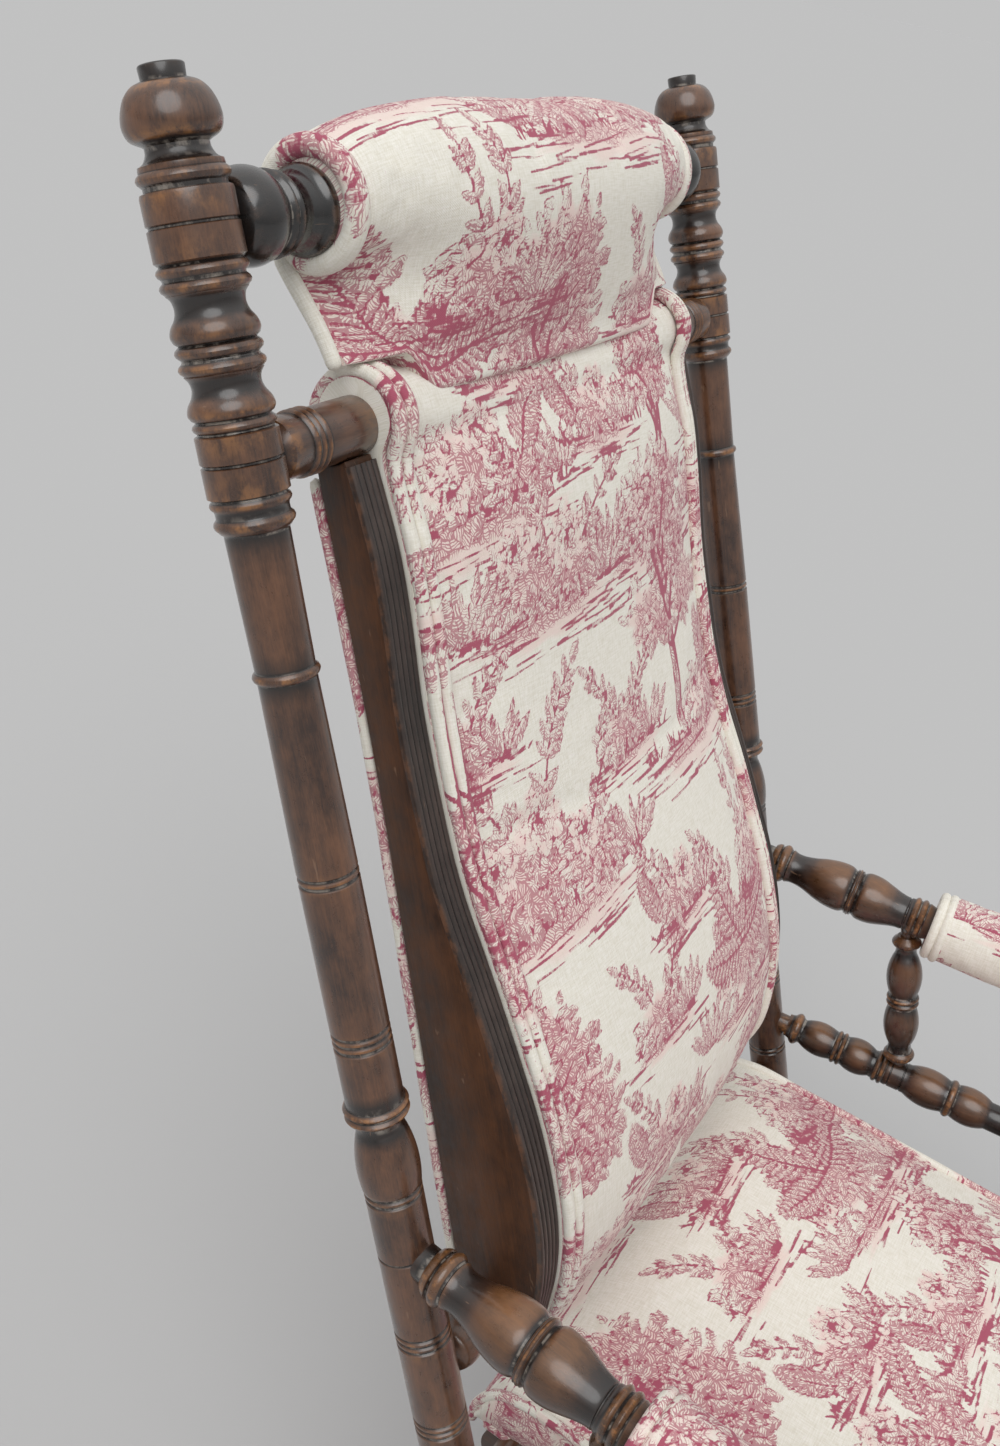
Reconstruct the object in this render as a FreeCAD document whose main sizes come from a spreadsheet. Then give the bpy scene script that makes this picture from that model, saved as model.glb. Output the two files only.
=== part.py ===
import FreeCAD, Part
import math
import os
import Sketcher
from FreeCAD import Placement, Rotation, Vector

# Rocking armchair on a stationary base: turned posts and rails, reeded side boards, upholstered back,
# headrest, arms and seat, and coil springs between the rockers and the base.
#
# Millimetres, +Z up, the floor at Z = 0, the chair faces -Y, and X runs across it.
# "right" is the sitter's right, at negative X. The right pieces are drawn and the left ones mirrored.
# The back is drawn in the plane of its two posts: there the sketch's own axes are the distance behind
# the post axes and the distance up along them from the centre of the finial ball.

SIZES = {
    # placing of the whole
    "post_spacing": 520.0,
    "back_rake": 22.0,
    "ball_height": 1120.0,
    "seat_rail_height": 364.3452,
    "seat_rail_behind_origin": 101.7956,
    # joints down the back post from the centre of the finial ball
    "crest_rail_down": 41.3,
    "upper_rail_down": 144.0,
    "collar_below_upper_rail": 102.0,
    # joints up the back post from the rear seat rail, and below the seat
    "side_rail_above_seat_rail": 57.3,
    "lower_rail_above_seat_rail": 131.0,
    "arm_above_seat_rail": 223.0,
    "vase_above_arm": 95.0,
    "cross_stretcher_below_seat": 23.5771,
    "cross_stretcher_above_side": 34.0,
    "seat_rail_rise_ahead": 8.0,
    "stretcher_rise_ahead": 6.0,
    # post turning
    "finial_radius": 21.2,
    "button_radius": 10.0,
    "drum_radius": 20.3,
    "cove_radius": 16.0,
    "post_radius": 16.2,
    "waist_radius": 13.0,
    "foot_radius": 10.5,
    "tenon_radius": 8.0,
    "spindle_tenon_radius": 5.5,
    "tenon_stop": 5.0,
    "spigot_length": 26.0,
    "fit_clearance": 0.3,
    # arms
    "arm_length": 460.0,
    "arm_splay": 5.5,
    "arm_rise": 1.2,
    "arm_neck_radius": 11.0,
    "arm_vase_radius": 20.0,
    "arm_pad_start": 159.0,
    "arm_pad_from_front_end": 64.0,
    "arm_pad_radius": 28.0,
    "arm_core_radius": 14.0,
    "spindle_at": 141.0,
    "side_spindle_at": 124.0,
    "front_spindle_from_arm_end": 56.0,
    "front_spindle_from_rail_end": 44.0,
    "arm_wall": 18.5,
    "side_rail_wall": 14.0,
    "side_rail_front_wall": 15.8,
    "side_rail_radius": 15.5,
    "spindle_radius": 14.5,
    # front post
    "front_post_lean": 10.0,
    "front_post_draw_in": 3.8,
    "front_finial_up": 62.0,
    # rails across
    "rail_radius": 15.5,
    "crest_ball_radius": 22.0,
    "crest_end_radius": 18.0,
    "seat_rail_radius": 15.0,
    "lower_rail_radius": 11.0,
    # back boards
    "board_outer": 198.0,
    "board_thickness": 22.0,
    "board_bulge": 17.5,
    "board_hollow": 14.6,
    "board_belly": 50.3,
    "board_bottom_above_seat_rail": 87.0,
    "reed_radius": 2.1,
    "reed_count": 4,
    # upholstery
    "pad_crown": 16.0,
    "upper_roll_radius": 24.0,
    "headrest_half_width": 184.0,
    "headrest_end_radius": 27.0,
    "headrest_crown": 20.0,
    "cover_thickness": 8.0,
    "cover_half_width": 193.0,
    "seat_edge_above_rail": 49.6548,
    "seat_crown": 20.0,
    "seat_half_width": 196.0,
    "seat_bottom_below_rail": 28.3452,
    "seat_overhang": 46.0,
    "seat_board_height": 44.0,
    "seat_deck_thickness": 10.0,
    # rockers and base
    "rocker_radius": 500.0,
    "rocker_depth": 74.0,
    "rocker_thickness": 38.0,
    "rocker_spacing": 536.0,
    "contact_ahead_of_seat_rail": 239.6956,
    "rocker_behind": 190.0,
    "rocker_ahead": 236.0,
    "rocking_gap": 3.6,
    "base_top_height": 118.0,
    "base_rail_depth": 46.0,
    "base_rail_width": 44.0,
    "base_behind": 285.0,
    "base_ahead": 305.0,
    "foot_inset": 42.0,
    "base_foot_radius": 29.0,
    "foot_tenon_length": 24.0,
    "cross_rail_inset": 88.0,
    # springs and brackets
    "spring_radius": 10.5,
    "wire_radius": 2.0,
    "spring_turns": 5,
    "spring_spread": 46.0,
    "spring_inset": 24.0,
    "bracket_thickness": 4.0,
    "bracket_length": 92.0,
    "spring_seat_below_base_top": 32.0,
    "spring_seat_above_rocker_bottom": 46.4,
    "screw_radius": 2.4,
    "screw_from_spring_seat": 16.0,
}

doc = FreeCAD.newDocument("rocking_chair")
sheet = doc.addObject("Spreadsheet::Sheet", "Sizes")
for row, (word, number) in enumerate(SIZES.items(), start=1):
    sheet.set("A%d" % row, word)
    sheet.set("B%d" % row, repr(number))
    sheet.setAlias("B%d" % row, word)
doc.recompute()


def size(word):
    """The value of a named cell."""
    return float(sheet.get(word))


RAKE = size("back_rake")
FIT = size("fit_clearance")
HALF_SPACING = size("post_spacing") / 2
SEAT_RAIL_DOWN = (size("ball_height") - size("seat_rail_height")) / math.cos(math.radians(RAKE))
BALL = Vector(0, size("seat_rail_behind_origin") + SEAT_RAIL_DOWN * math.sin(math.radians(RAKE)),
              size("ball_height"))
PARTS = []


# Sketches and bodies

def new_body(label):
    body = doc.addObject("PartDesign::Body", label)
    body.Label = label
    return body


def sketch_on(body, name, role, offset=0.0):
    """A sketch on one of the body's own origin planes, or beside it by an offset."""
    plane = [item for item in body.Origin.OriginFeatures if item.Role == role][0]
    sketch = body.newObject("Sketcher::SketchObject", name)
    sketch.AttachmentSupport = (plane, [""])
    sketch.MapMode = "FlatFace"
    sketch.AttachmentOffset = Placement(Vector(0, 0, offset), Rotation())
    return sketch


def arc_middle(first, last, rise):
    """The middle of an arc from first to last that rises to the left of that direction."""
    along = last - first
    left = Vector(-along.y, along.x, 0).normalize()
    return (first + last) * 0.5 + left * rise


def draw_outline(sketch, corners):
    """A closed outline of (x, y, rise) corners: rise is how far the edge that ends there bows to its left."""
    points = [Vector(x, y, 0) for x, y, rise in corners]
    ends = []
    for index, corner in enumerate(corners):
        first, last = points[index - 1], points[index]
        if abs(corner[2]) > 1e-6:
            edge = Part.Arc(first, arc_middle(first, last, corner[2]), last)
        else:
            edge = Part.LineSegment(first, last)
        number = sketch.addGeometry(edge, False)
        start_first = (edge.StartPoint - first).Length < 1e-4
        ends.append((number, 1 if start_first else 2))
    return ends


def bind(sketch, name, kind, ends, index, word, factor=""):
    """A named constraint from the sketch's origin to the start of an edge, tied to a cell."""
    value = sketch.getPoint(ends[index][0], ends[index][1])
    number = sketch.addConstraint(
        Sketcher.Constraint(kind, -1, 1, ends[index][0], ends[index][1],
                            value.x if kind == "DistanceX" else value.y))
    sketch.renameConstraint(number, name)
    sketch.setExpression("Constraints." + name, factor + "Sizes." + word)


class Turning:
    """Half the outline of a turned piece, walked along its axis."""

    def __init__(self, at, radius):
        self.points = [(at, radius, 0.0)]

    def to(self, at, radius, rise=0.0):
        """A straight taper, or a curve that stands out from the axis by rise."""
        before = self.points[-1]
        if abs(before[0] - at) > 1e-6 or abs(before[1] - radius) > 1e-6:
            self.points.append((at, radius, rise))
        return self

    def bead(self, centre, width, base, rise):
        """A half-round ring standing on a base radius."""
        return self.to(centre - width / 2, base).to(centre + width / 2, base, rise)

    def mirrored(self, middle):
        """The same turning carried on as its own mirror image past the middle."""
        points = self.points
        for index in range(len(points) - 1, -1, -1):
            at, radius, rise = points[index]
            follow = points[index + 1][2] if index + 1 < len(points) else 0.0
            if abs(2 * middle - at - points[-1][0]) > 1e-6:
                self.points = self.points + [(2 * middle - at, radius, follow)]
        return self


def turn(label, turning, origin, direction, bore=0.0, wide=None):
    """A body revolved about its own Z axis, which is then laid from origin along direction."""
    body = new_body(label)
    sketch = sketch_on(body, label + "_outline", "XZ_Plane")
    points = turning.points
    corners = [(bore, points[0][0], 0.0)]
    before = None
    for at, radius, rise in points:
        climbing = before is None or at > before
        corners.append((radius, at, -rise if climbing else rise))
        before = at
    corners.append((bore, points[-1][0], 0.0))
    ends = draw_outline(sketch, corners)
    if wide:
        bind(sketch, "largest", "DistanceX", ends, wide[0] + 2, wide[1])
    revolution = body.newObject("PartDesign::Revolution", label + "_turned")
    revolution.Profile = sketch
    revolution.ReferenceAxis = (sketch, ["V_Axis"])
    revolution.Angle = 360
    sketch.Visibility = False
    body.Placement = Placement(origin, Rotation(Vector(0, 0, 1), direction))
    return body


def rod(label, origin, direction, radius, length):
    """A plain cylinder from origin along direction, used to cut sockets and bores."""
    cylinder = doc.addObject("Part::Cylinder", label)
    cylinder.Radius = radius
    cylinder.Height = length
    cylinder.Placement = Placement(origin, Rotation(Vector(0, 0, 1), direction))
    return cylinder


def box(label, low, high):
    """A block between two corners."""
    block = doc.addObject("Part::Box", label)
    block.Length, block.Width, block.Height = high.x - low.x, high.y - low.y, high.z - low.z
    block.Placement = Placement(low, Rotation())
    return block


def cut(label, base, tools):
    """The base with every tool taken out of it."""
    tool = tools[0]
    if len(tools) > 1:
        tool = doc.addObject("Part::Compound", label + "_tools")
        tool.Links = tools
    result = doc.addObject("Part::Cut", label)
    result.Label = label
    result.Base = base
    result.Tool = tool
    return result


def fuse(label, pieces):
    """Several solids as one."""
    result = doc.addObject("Part::MultiFuse", label)
    result.Label = label
    result.Shapes = pieces
    return result


def keep(piece, label=None):
    """Take a finished piece into the list that is written out."""
    if label:
        piece.Label = label
    PARTS.append(piece)
    return piece


def keep_pair(piece, name):
    """A right-hand piece and its mirror image on the left."""
    keep(piece, name + "_right")
    other = doc.addObject("Part::Mirroring", name + "_left")
    other.Source = piece
    other.Normal = Vector(1, 0, 0)
    other.Base = Vector(0, 0, 0)
    keep(other, name + "_left")


# Where things are

def tilted(across, behind, up):
    """A place in the room from the distance across, behind the post axes and up from the balls."""
    turn_back = math.radians(RAKE)
    return Vector(across,
                  BALL.y + behind * math.cos(turn_back) + up * math.sin(turn_back),
                  BALL.z - behind * math.sin(turn_back) + up * math.cos(turn_back))


BACK_PLACE = Placement(BALL, Rotation(Vector(1, 0, 0), -RAKE))
SIDE_RAIL_DOWN = SEAT_RAIL_DOWN - size("side_rail_above_seat_rail")
LOWER_RAIL_DOWN = SEAT_RAIL_DOWN - size("lower_rail_above_seat_rail")
ARM_DOWN = SEAT_RAIL_DOWN - size("arm_above_seat_rail")
BOARD_BOTTOM_DOWN = SEAT_RAIL_DOWN - size("board_bottom_above_seat_rail")
SEAT_EDGE = size("seat_rail_height") + size("seat_edge_above_rail")
SEAT_BOTTOM = size("seat_rail_height") - size("seat_bottom_below_rail")
POST_UP = (tilted(0, 0, 1) - tilted(0, 0, 0)).normalize()
ACROSS = Vector(1, 0, 0)

splay = math.radians(size("arm_splay"))
rise = math.radians(size("arm_rise"))
ARM_WAY = Vector(-math.sin(splay) * math.cos(rise), -math.cos(splay) * math.cos(rise), math.sin(rise))
ARM_START = tilted(-HALF_SPACING, 0, -ARM_DOWN)
ARM_END = ARM_START + ARM_WAY * size("arm_length")

lean = math.tan(math.radians(size("front_post_lean")))
draw_in = math.tan(math.radians(size("front_post_draw_in")))
FRONT_DOWN = Vector(draw_in, -lean, -1).normalize()

contact_behind = size("seat_rail_behind_origin") - size("contact_ahead_of_seat_rail")
CONTACT = Vector(0, contact_behind, size("base_top_height"))
ROCKER_BOTTOM = size("base_top_height") + size("rocking_gap")
ROCKER_TOP = ROCKER_BOTTOM + size("rocker_depth")


# The inner faces that carry the spring brackets, and the heights of the bracket screws

BASE_FACE = -size("rocker_spacing") / 2 + size("base_rail_width") / 2
ROCKER_FACE = -size("rocker_spacing") / 2 + size("rocker_thickness") / 2
LOWER_SPRING_SEAT = size("base_top_height") - size("spring_seat_below_base_top")
UPPER_SPRING_SEAT = ROCKER_BOTTOM + size("spring_seat_above_rocker_bottom")
LOWER_SCREW = LOWER_SPRING_SEAT + size("screw_from_spring_seat")
UPPER_SCREW = UPPER_SPRING_SEAT - size("screw_from_spring_seat")


def down_to(start, direction, height):
    """How far along direction a line from start reaches a height."""
    return (height - start.z) / direction.z


def on_front_post(height):
    return ARM_END + FRONT_DOWN * down_to(ARM_END, FRONT_DOWN, height)


POST_LENGTH = down_to(tilted(0, 0, 0), POST_UP * -1, ROCKER_TOP)
FRONT_LENGTH = down_to(ARM_END, FRONT_DOWN, ROCKER_TOP)
SIDE_START = tilted(-HALF_SPACING, 0, -SIDE_RAIL_DOWN)
SIDE_END = on_front_post(SIDE_START.z + (ARM_END.z - ARM_START.z))
SIDE_WAY = (SIDE_END - SIDE_START).normalize()
SEAT_REAR = tilted(-HALF_SPACING, 0, -SEAT_RAIL_DOWN)
SEAT_FRONT = on_front_post(SEAT_REAR.z + size("seat_rail_rise_ahead"))
CROSS_DOWN = (size("ball_height") - SEAT_BOTTOM + size("cross_stretcher_below_seat")) / POST_UP.z
CROSS_REAR = tilted(-HALF_SPACING, 0, -CROSS_DOWN)
STRETCH_REAR = CROSS_REAR - POST_UP * size("cross_stretcher_above_side")
STRETCH_FRONT = on_front_post(STRETCH_REAR.z + size("stretcher_rise_ahead"))
CROSS_FRONT = STRETCH_FRONT + FRONT_DOWN * size("cross_stretcher_above_side")
STRETCH_WAY = (STRETCH_FRONT - STRETCH_REAR).normalize()
SPINDLE_TOP = ARM_START + ARM_WAY * size("spindle_at")
SPINDLE_FOOT = SIDE_START + SIDE_WAY * size("side_spindle_at")
FRONT_SPINDLE_TOP = ARM_END - ARM_WAY * size("front_spindle_from_arm_end")
FRONT_SPINDLE_FOOT = SIDE_END - SIDE_WAY * size("front_spindle_from_rail_end")
TENON_STOP = size("tenon_stop")
TENON = size("tenon_radius")
SOCKET = TENON + FIT


# Posts

def post_turning():
    """The back post from its button down to the tenon in the rocker, measured down from the ball."""
    drum = size("drum_radius")
    cove = size("cove_radius")
    shaft = size("post_radius")
    rim = drum - 2
    crest = size("crest_rail_down")
    upper = size("upper_rail_down")
    collar = upper + size("collar_below_upper_rail")
    vase = ARM_DOWN - size("vase_above_arm")
    first_end, second_start = crest + 15.5, upper - 14
    gap = second_start - first_end
    form = Turning(-21, size("button_radius") - 2)
    form.to(-19, size("button_radius")).to(-14, size("button_radius"))
    form.to(-12.5, 13).to(0, size("finial_radius"), 3.2).to(10, 14, 2.2)
    form.to(18.5, rim, -1.4).to(26, rim, 2.4)
    form.to(28, drum - 3).to(29.5, drum).to(first_end, drum)
    form.bead(first_end + 0.05 * gap, 0.06 * gap, rim, 2)
    form.bead(first_end + 0.14 * gap, 0.07 * gap, rim, 2)
    form.to(first_end + 0.35 * gap, rim, -(rim - cove)).to(first_end + 0.45 * gap, rim, 2)
    form.bead(first_end + 0.5 * gap, 0.07 * gap, rim, 2)
    form.bead(first_end + 0.61 * gap, 0.07 * gap, rim, 2)
    form.to(first_end + 0.82 * gap, rim, -(rim - cove)).to(first_end + 0.92 * gap, rim, 2)
    form.to(second_start - 1, rim).to(second_start, drum - 0.8).to(upper + 15, drum - 0.8)
    form.to(upper + 15.5, rim).to(upper + 22, rim, 1.2).to(upper + 24, rim).to(upper + 31, rim, 1.4)
    form.to(upper + 34, shaft - 0.8)
    form.bead(collar, 5.5, shaft - 1.2, 1.8)
    form.to(collar + 108, shaft).to(vase - 6, shaft)
    form.bead(vase - 3, 5, shaft, 2).bead(vase + 2, 5, shaft, 2)
    form.to(vase + 8, size("waist_radius"), -1).to(vase + 53, shaft + 0.4, 2.4)
    form.to(POST_LENGTH - 108, shaft).bead(POST_LENGTH - 104, 6, shaft, 2)
    form.to(POST_LENGTH - 92, size("waist_radius"), -1).to(POST_LENGTH - 48, size("foot_radius") + 1.5, 4)
    form.bead(POST_LENGTH - 44, 5, size("foot_radius") + 1, 2)
    form.to(POST_LENGTH - 30, size("foot_radius"))
    form.to(POST_LENGTH + size("spigot_length"), size("foot_radius"))
    return form


def front_post_turning():
    """The front post from its own small finial down to the rocker, measured down from the arm."""
    drum = size("drum_radius")
    rim = drum - 2
    shaft = size("post_radius")
    up = -size("front_finial_up")
    ball = size("finial_radius")
    rail = down_to(ARM_END, FRONT_DOWN, SIDE_END.z)
    seat = down_to(ARM_END, FRONT_DOWN, SEAT_FRONT.z)
    form = Turning(up - 21, size("button_radius") - 2)
    form.to(up - 19, size("button_radius")).to(up - 14, size("button_radius"))
    form.to(up - 12.5, 13).to(up, ball, 3.2).to(up + 10, 14, 2.2)
    form.to(up + 18.5, rim, -1.4).to(up + 26, rim, 2.4)
    form.to(up + 42, rim, -2.6).to(-17, drum).to(17, drum).to(19, rim)
    form.bead(24, 5, rim, 2)
    form.to(34, size("waist_radius"), -1).to(rail - 46, shaft + 2, 3).bead(rail - 41, 6, shaft, 2)
    form.to(rail - 30, size("cove_radius"), -1.5).to(rail - 18, shaft + 1).to(seat + 24, shaft + 1)
    form.bead(seat + 28, 6, shaft, 2).to(FRONT_LENGTH - 92, size("waist_radius") + 1)
    form.to(FRONT_LENGTH - 48, size("foot_radius") + 1.5, 4)
    form.bead(FRONT_LENGTH - 44, 5, size("foot_radius") + 1, 2)
    form.to(FRONT_LENGTH - 30, size("foot_radius"))
    form.to(FRONT_LENGTH + size("spigot_length"), size("foot_radius"))
    return form


def socket(label, joint, direction, radius=None):
    """The cutter for a round socket that leaves a post along direction from its axis."""
    return rod(label, joint + direction * (TENON_STOP - FIT), direction, radius or SOCKET, 60)


def make_posts():
    stock = turn("back_post_turning", post_turning(), tilted(-HALF_SPACING, 0, 0), POST_UP * -1,
                 wide=(4, "finial_radius"))
    neck = size("arm_neck_radius") + FIT
    tools = [socket("crest_socket", tilted(-HALF_SPACING, 0, -size("crest_rail_down")), ACROSS),
             socket("upper_socket", tilted(-HALF_SPACING, 0, -size("upper_rail_down")), ACROSS),
             socket("lower_socket", tilted(-HALF_SPACING, 0, -LOWER_RAIL_DOWN), ACROSS),
             socket("seat_socket", SEAT_REAR, ACROSS),
             socket("arm_socket", ARM_START, ARM_WAY, neck),
             socket("side_socket", SIDE_START, SIDE_WAY),
             socket("stretcher_socket", STRETCH_REAR, STRETCH_WAY),
             socket("rear_stretcher_socket", CROSS_REAR, ACROSS)]
    keep_pair(cut("back_post", stock, tools), "back_post")
    stock = turn("front_post_turning", front_post_turning(), ARM_END, FRONT_DOWN)
    tools = [socket("front_arm_socket", ARM_END, ARM_WAY * -1),
             socket("front_side_socket", SIDE_END, SIDE_WAY * -1),
             socket("front_seat_socket", SEAT_FRONT, ACROSS),
             socket("front_side_stretcher_socket", STRETCH_FRONT, STRETCH_WAY * -1),
             socket("front_stretcher_socket", CROSS_FRONT, ACROSS)]
    keep_pair(cut("front_post", stock, tools), "front_post")


# Rails across, each drawn from its right-hand end

def cross_rail(label, joint, form):
    """A rail turned along X, from just short of the right post's axis to the same place on the left."""
    return turn(label, form, joint, ACROSS)


def rail_length(joint):
    return -2 * joint.x


def plain_rail(joint, post_radius, shoulder, body_radius, neck=22.0):
    """A rail with tenons, a ball and ring at each end and a plain middle."""
    start = post_radius + FIT
    form = Turning(TENON_STOP, TENON).to(start, TENON).to(start, shoulder - 3)
    form.to(start + neck, shoulder - 3, 3).bead(start + neck + 3, 5, shoulder - 3, 2)
    form.to(start + neck + 10, body_radius - 2, -1).to(start + neck + 16, body_radius)
    return form.mirrored(rail_length(joint) / 2)


def make_cross_rails():
    crest = tilted(-HALF_SPACING, 0, -size("crest_rail_down"))
    ball = size("crest_ball_radius")
    start = size("drum_radius") + FIT
    form = Turning(TENON_STOP, TENON).to(start, TENON).to(start, ball - 5)
    form.to(start + 20, ball - 2, 4).bead(start + 24, 6, ball - 3, 2)
    form.to(start + 42, ball - 3, -2).to(start + 50, ball - 1, 0.8).to(start + 54, size("crest_end_radius"))
    keep(cross_rail("crest_rail", crest, form.mirrored(rail_length(crest) / 2)))

    upper = tilted(-HALF_SPACING, 0, -size("upper_rail_down"))
    radius = size("rail_radius")
    start = size("drum_radius") + FIT
    form = Turning(TENON_STOP, TENON).to(start, TENON).to(start, radius).to(start + 14, radius)
    form.bead(start + 17, 5, radius - 0.4, 1.8).bead(start + 23, 5, radius - 0.4, 1.8)
    form.to(start + 27, radius)
    keep(cross_rail("back_upper_rail", upper, form.mirrored(rail_length(upper) / 2)))

    lower = tilted(-HALF_SPACING, 0, -LOWER_RAIL_DOWN)
    lower_form = plain_rail(lower, size("post_radius"), 17, size("lower_rail_radius"))
    keep(cross_rail("back_lower_rail", lower, lower_form))
    rear_form = plain_rail(SEAT_REAR, size("post_radius"), 18, size("seat_rail_radius"))
    keep(cross_rail("seat_rear_rail", SEAT_REAR, rear_form))
    front_wall = size("post_radius") + 2.5
    front_form = plain_rail(SEAT_FRONT, front_wall, 18, size("seat_rail_radius"))
    keep(cross_rail("seat_front_rail", SEAT_FRONT, front_form))

    for label, joint in (("rear_stretcher", CROSS_REAR), ("front_stretcher", CROSS_FRONT)):
        middle = rail_length(joint) / 2
        form = Turning(TENON_STOP, TENON).to(size("post_radius") + 22, TENON)
        form.bead(size("post_radius") + 26, 6, TENON + 1, 2)
        form.to(middle - 62, 13, 2).bead(middle - 56, 8, 13, 2)
        form.to(middle - 44, 10.5, -1).to(middle - 6, 14, 2.5)
        keep(cross_rail(label, joint, form.mirrored(middle)))


# Arms, side rails, stretchers and spindles

def make_arms():
    vase = size("arm_vase_radius")
    neck = size("arm_neck_radius")
    pad_start = size("arm_pad_start")
    pad_end = size("arm_length") - size("arm_pad_from_front_end")
    core = size("arm_core_radius")
    end = size("arm_length")
    form = Turning(TENON_STOP, neck).to(25, neck)
    form.bead(28.5, 6, 14.5, 2).bead(34.5, 5, 14, 2)
    form.to(45, 13, -0.8).to(90, vase - 1, 2.6).bead(93.5, 6, vase - 2, 2)
    form.to(97.5, vase - 1.5).to(134, core, 3.4)
    form.bead(145, 5, core + 1, 2).bead(151.5, 5, core + 1, 2)
    form.to(pad_start, core).to(pad_end, core)
    form.bead(pad_end + 5, 5, core + 1, 2).bead(pad_end + 11, 5, core + 1, 2)
    form.to(end - 36, 12, -1).to(end - 27, 14, 1).to(end - 25, TENON)
    form.to(end - TENON_STOP, TENON)
    stock = turn("arm_turning", form, ARM_START, ARM_WAY)
    under = (SPINDLE_FOOT - SPINDLE_TOP).normalize()
    front_under = (FRONT_SPINDLE_FOOT - FRONT_SPINDLE_TOP).normalize()
    hole = size("spindle_tenon_radius") + FIT
    tools = [rod("arm_spindle_hole", SPINDLE_TOP + under * 3, under, hole, 30),
             rod("arm_front_spindle_hole", FRONT_SPINDLE_TOP + front_under * 3, front_under, hole, 30)]
    keep_pair(cut("arm_rail", stock, tools), "arm_rail")

    pad = size("arm_pad_radius")
    length = pad_end - pad_start
    form = Turning(0.5, pad - 7).to(4, pad - 2, 1).to(10, pad - 2, 0.8)
    form.to(length - 9, pad - 2, 2.6).to(length - 3, pad - 2, 1.2).to(length - 0.5, pad - 6, 1)
    pad_body = turn("arm_pad", form, ARM_START + ARM_WAY * pad_start, ARM_WAY, bore=core + FIT)
    keep_pair(pad_body, "arm_pad")

    length = (SIDE_END - SIDE_START).Length
    wide = size("side_rail_radius")
    form = Turning(TENON_STOP, TENON).to(22, TENON).to(22, 10).to(26.5, 11, -0.3).bead(31, 9, 11, 2.6)
    form.to(38, 11.5, -0.6).to(66, wide - 2, 2).bead(70, 6, wide - 3, 1.6)
    form.to(75, wide - 2).to(100, 12, 2.4).bead(109, 9, 12, 1.6)
    form.to(133, 12).to(166, wide, 2.4).bead(171, 7, wide - 1.5, 2)
    form.to(176, wide - 0.5).to(length / 2 - 8, 12, 2)
    stock = turn("side_rail_turning", form.mirrored(length / 2), SIDE_START, SIDE_WAY)
    tools = [rod("side_spindle_hole", SPINDLE_FOOT - under * 3, under * -1, hole, 30),
             rod("side_front_spindle_hole", FRONT_SPINDLE_FOOT - front_under * 3, front_under * -1, hole, 30)]
    keep_pair(cut("side_rail", stock, tools), "side_rail")

    for name, top, foot, wall in (
            ("rear_arm_spindle", SPINDLE_TOP, SPINDLE_FOOT, "side_rail_wall"),
            ("front_arm_spindle", FRONT_SPINDLE_TOP, FRONT_SPINDLE_FOOT, "side_rail_front_wall")):
        span = (foot - top).Length
        low, high = size("arm_wall") + 1.5, span - size(wall) - 1.5
        middle = (low + high) / 2
        thick = size("spindle_radius")
        tenon = size("spindle_tenon_radius")
        form = Turning(4, tenon).to(low, tenon).to(low, 7.5).bead(low + 6, 8, 9.2, 2.4)
        form.to(low + 18, 9.5, -0.5).to(middle - 6, thick - 3, 4).bead(middle, 10, thick - 3, 2)
        form.to(middle + 6, thick - 3).to(high - 18, 9.5, 4).bead(high - 7, 9, 10, 2.6)
        form.to(high, 8).to(high, tenon).to(span - 4, tenon)
        keep_pair(turn(name, form, top, (foot - top).normalize()), name)

    length = (STRETCH_FRONT - STRETCH_REAR).Length
    form = Turning(TENON_STOP, TENON).to(38, TENON).bead(43, 6, TENON + 1, 2)
    form.to(length / 2 - 40, 12.5, 2).bead(length / 2 - 35, 7, 12, 2).to(length / 2 - 6, 13, 2)
    stretcher = turn("side_stretcher", form.mirrored(length / 2), STRETCH_REAR, STRETCH_WAY)
    keep_pair(stretcher, "side_stretcher")


# Back boards and upholstery, drawn in the plane that crosses the posts' plane

BACK_LENGTH = BOARD_BOTTOM_DOWN - size("upper_rail_down")
FRONT_TOP_UP = -size("upper_rail_down") - 10.0
FRONT_TOP_AHEAD = 11.0
FRONT_BULGE_UP = -size("upper_rail_down") - 0.131849 * BACK_LENGTH
FRONT_HOLLOW_UP = -size("upper_rail_down") - 0.260274 * BACK_LENGTH
FRONT_JOIN_SHARE = 0.6
FRONT_BELLY_UP = -BOARD_BOTTOM_DOWN + 128.0
BELLY_RADIUS = 260.0
BELLY_DROP = 104.0
REAR_TOP_BEHIND = 11.0
REAR_LOW_UP = -BOARD_BOTTOM_DOWN + 26.0
REAR_LOW_BEHIND = 19.5
REAR_HOLLOW = 2.8


def bow(first, last, leaving):
    """The rise of an arc from first to last that leaves first in a given direction."""
    along = last - first
    left = Vector(-leaving.y, leaving.x, 0)
    radius = along.Length ** 2 / (2 * along.dot(left))
    half = math.asin(min(1.0, along.Length / (2 * abs(radius))))
    return -math.copysign(abs(radius) * (1 - math.cos(half)), radius)


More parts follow.
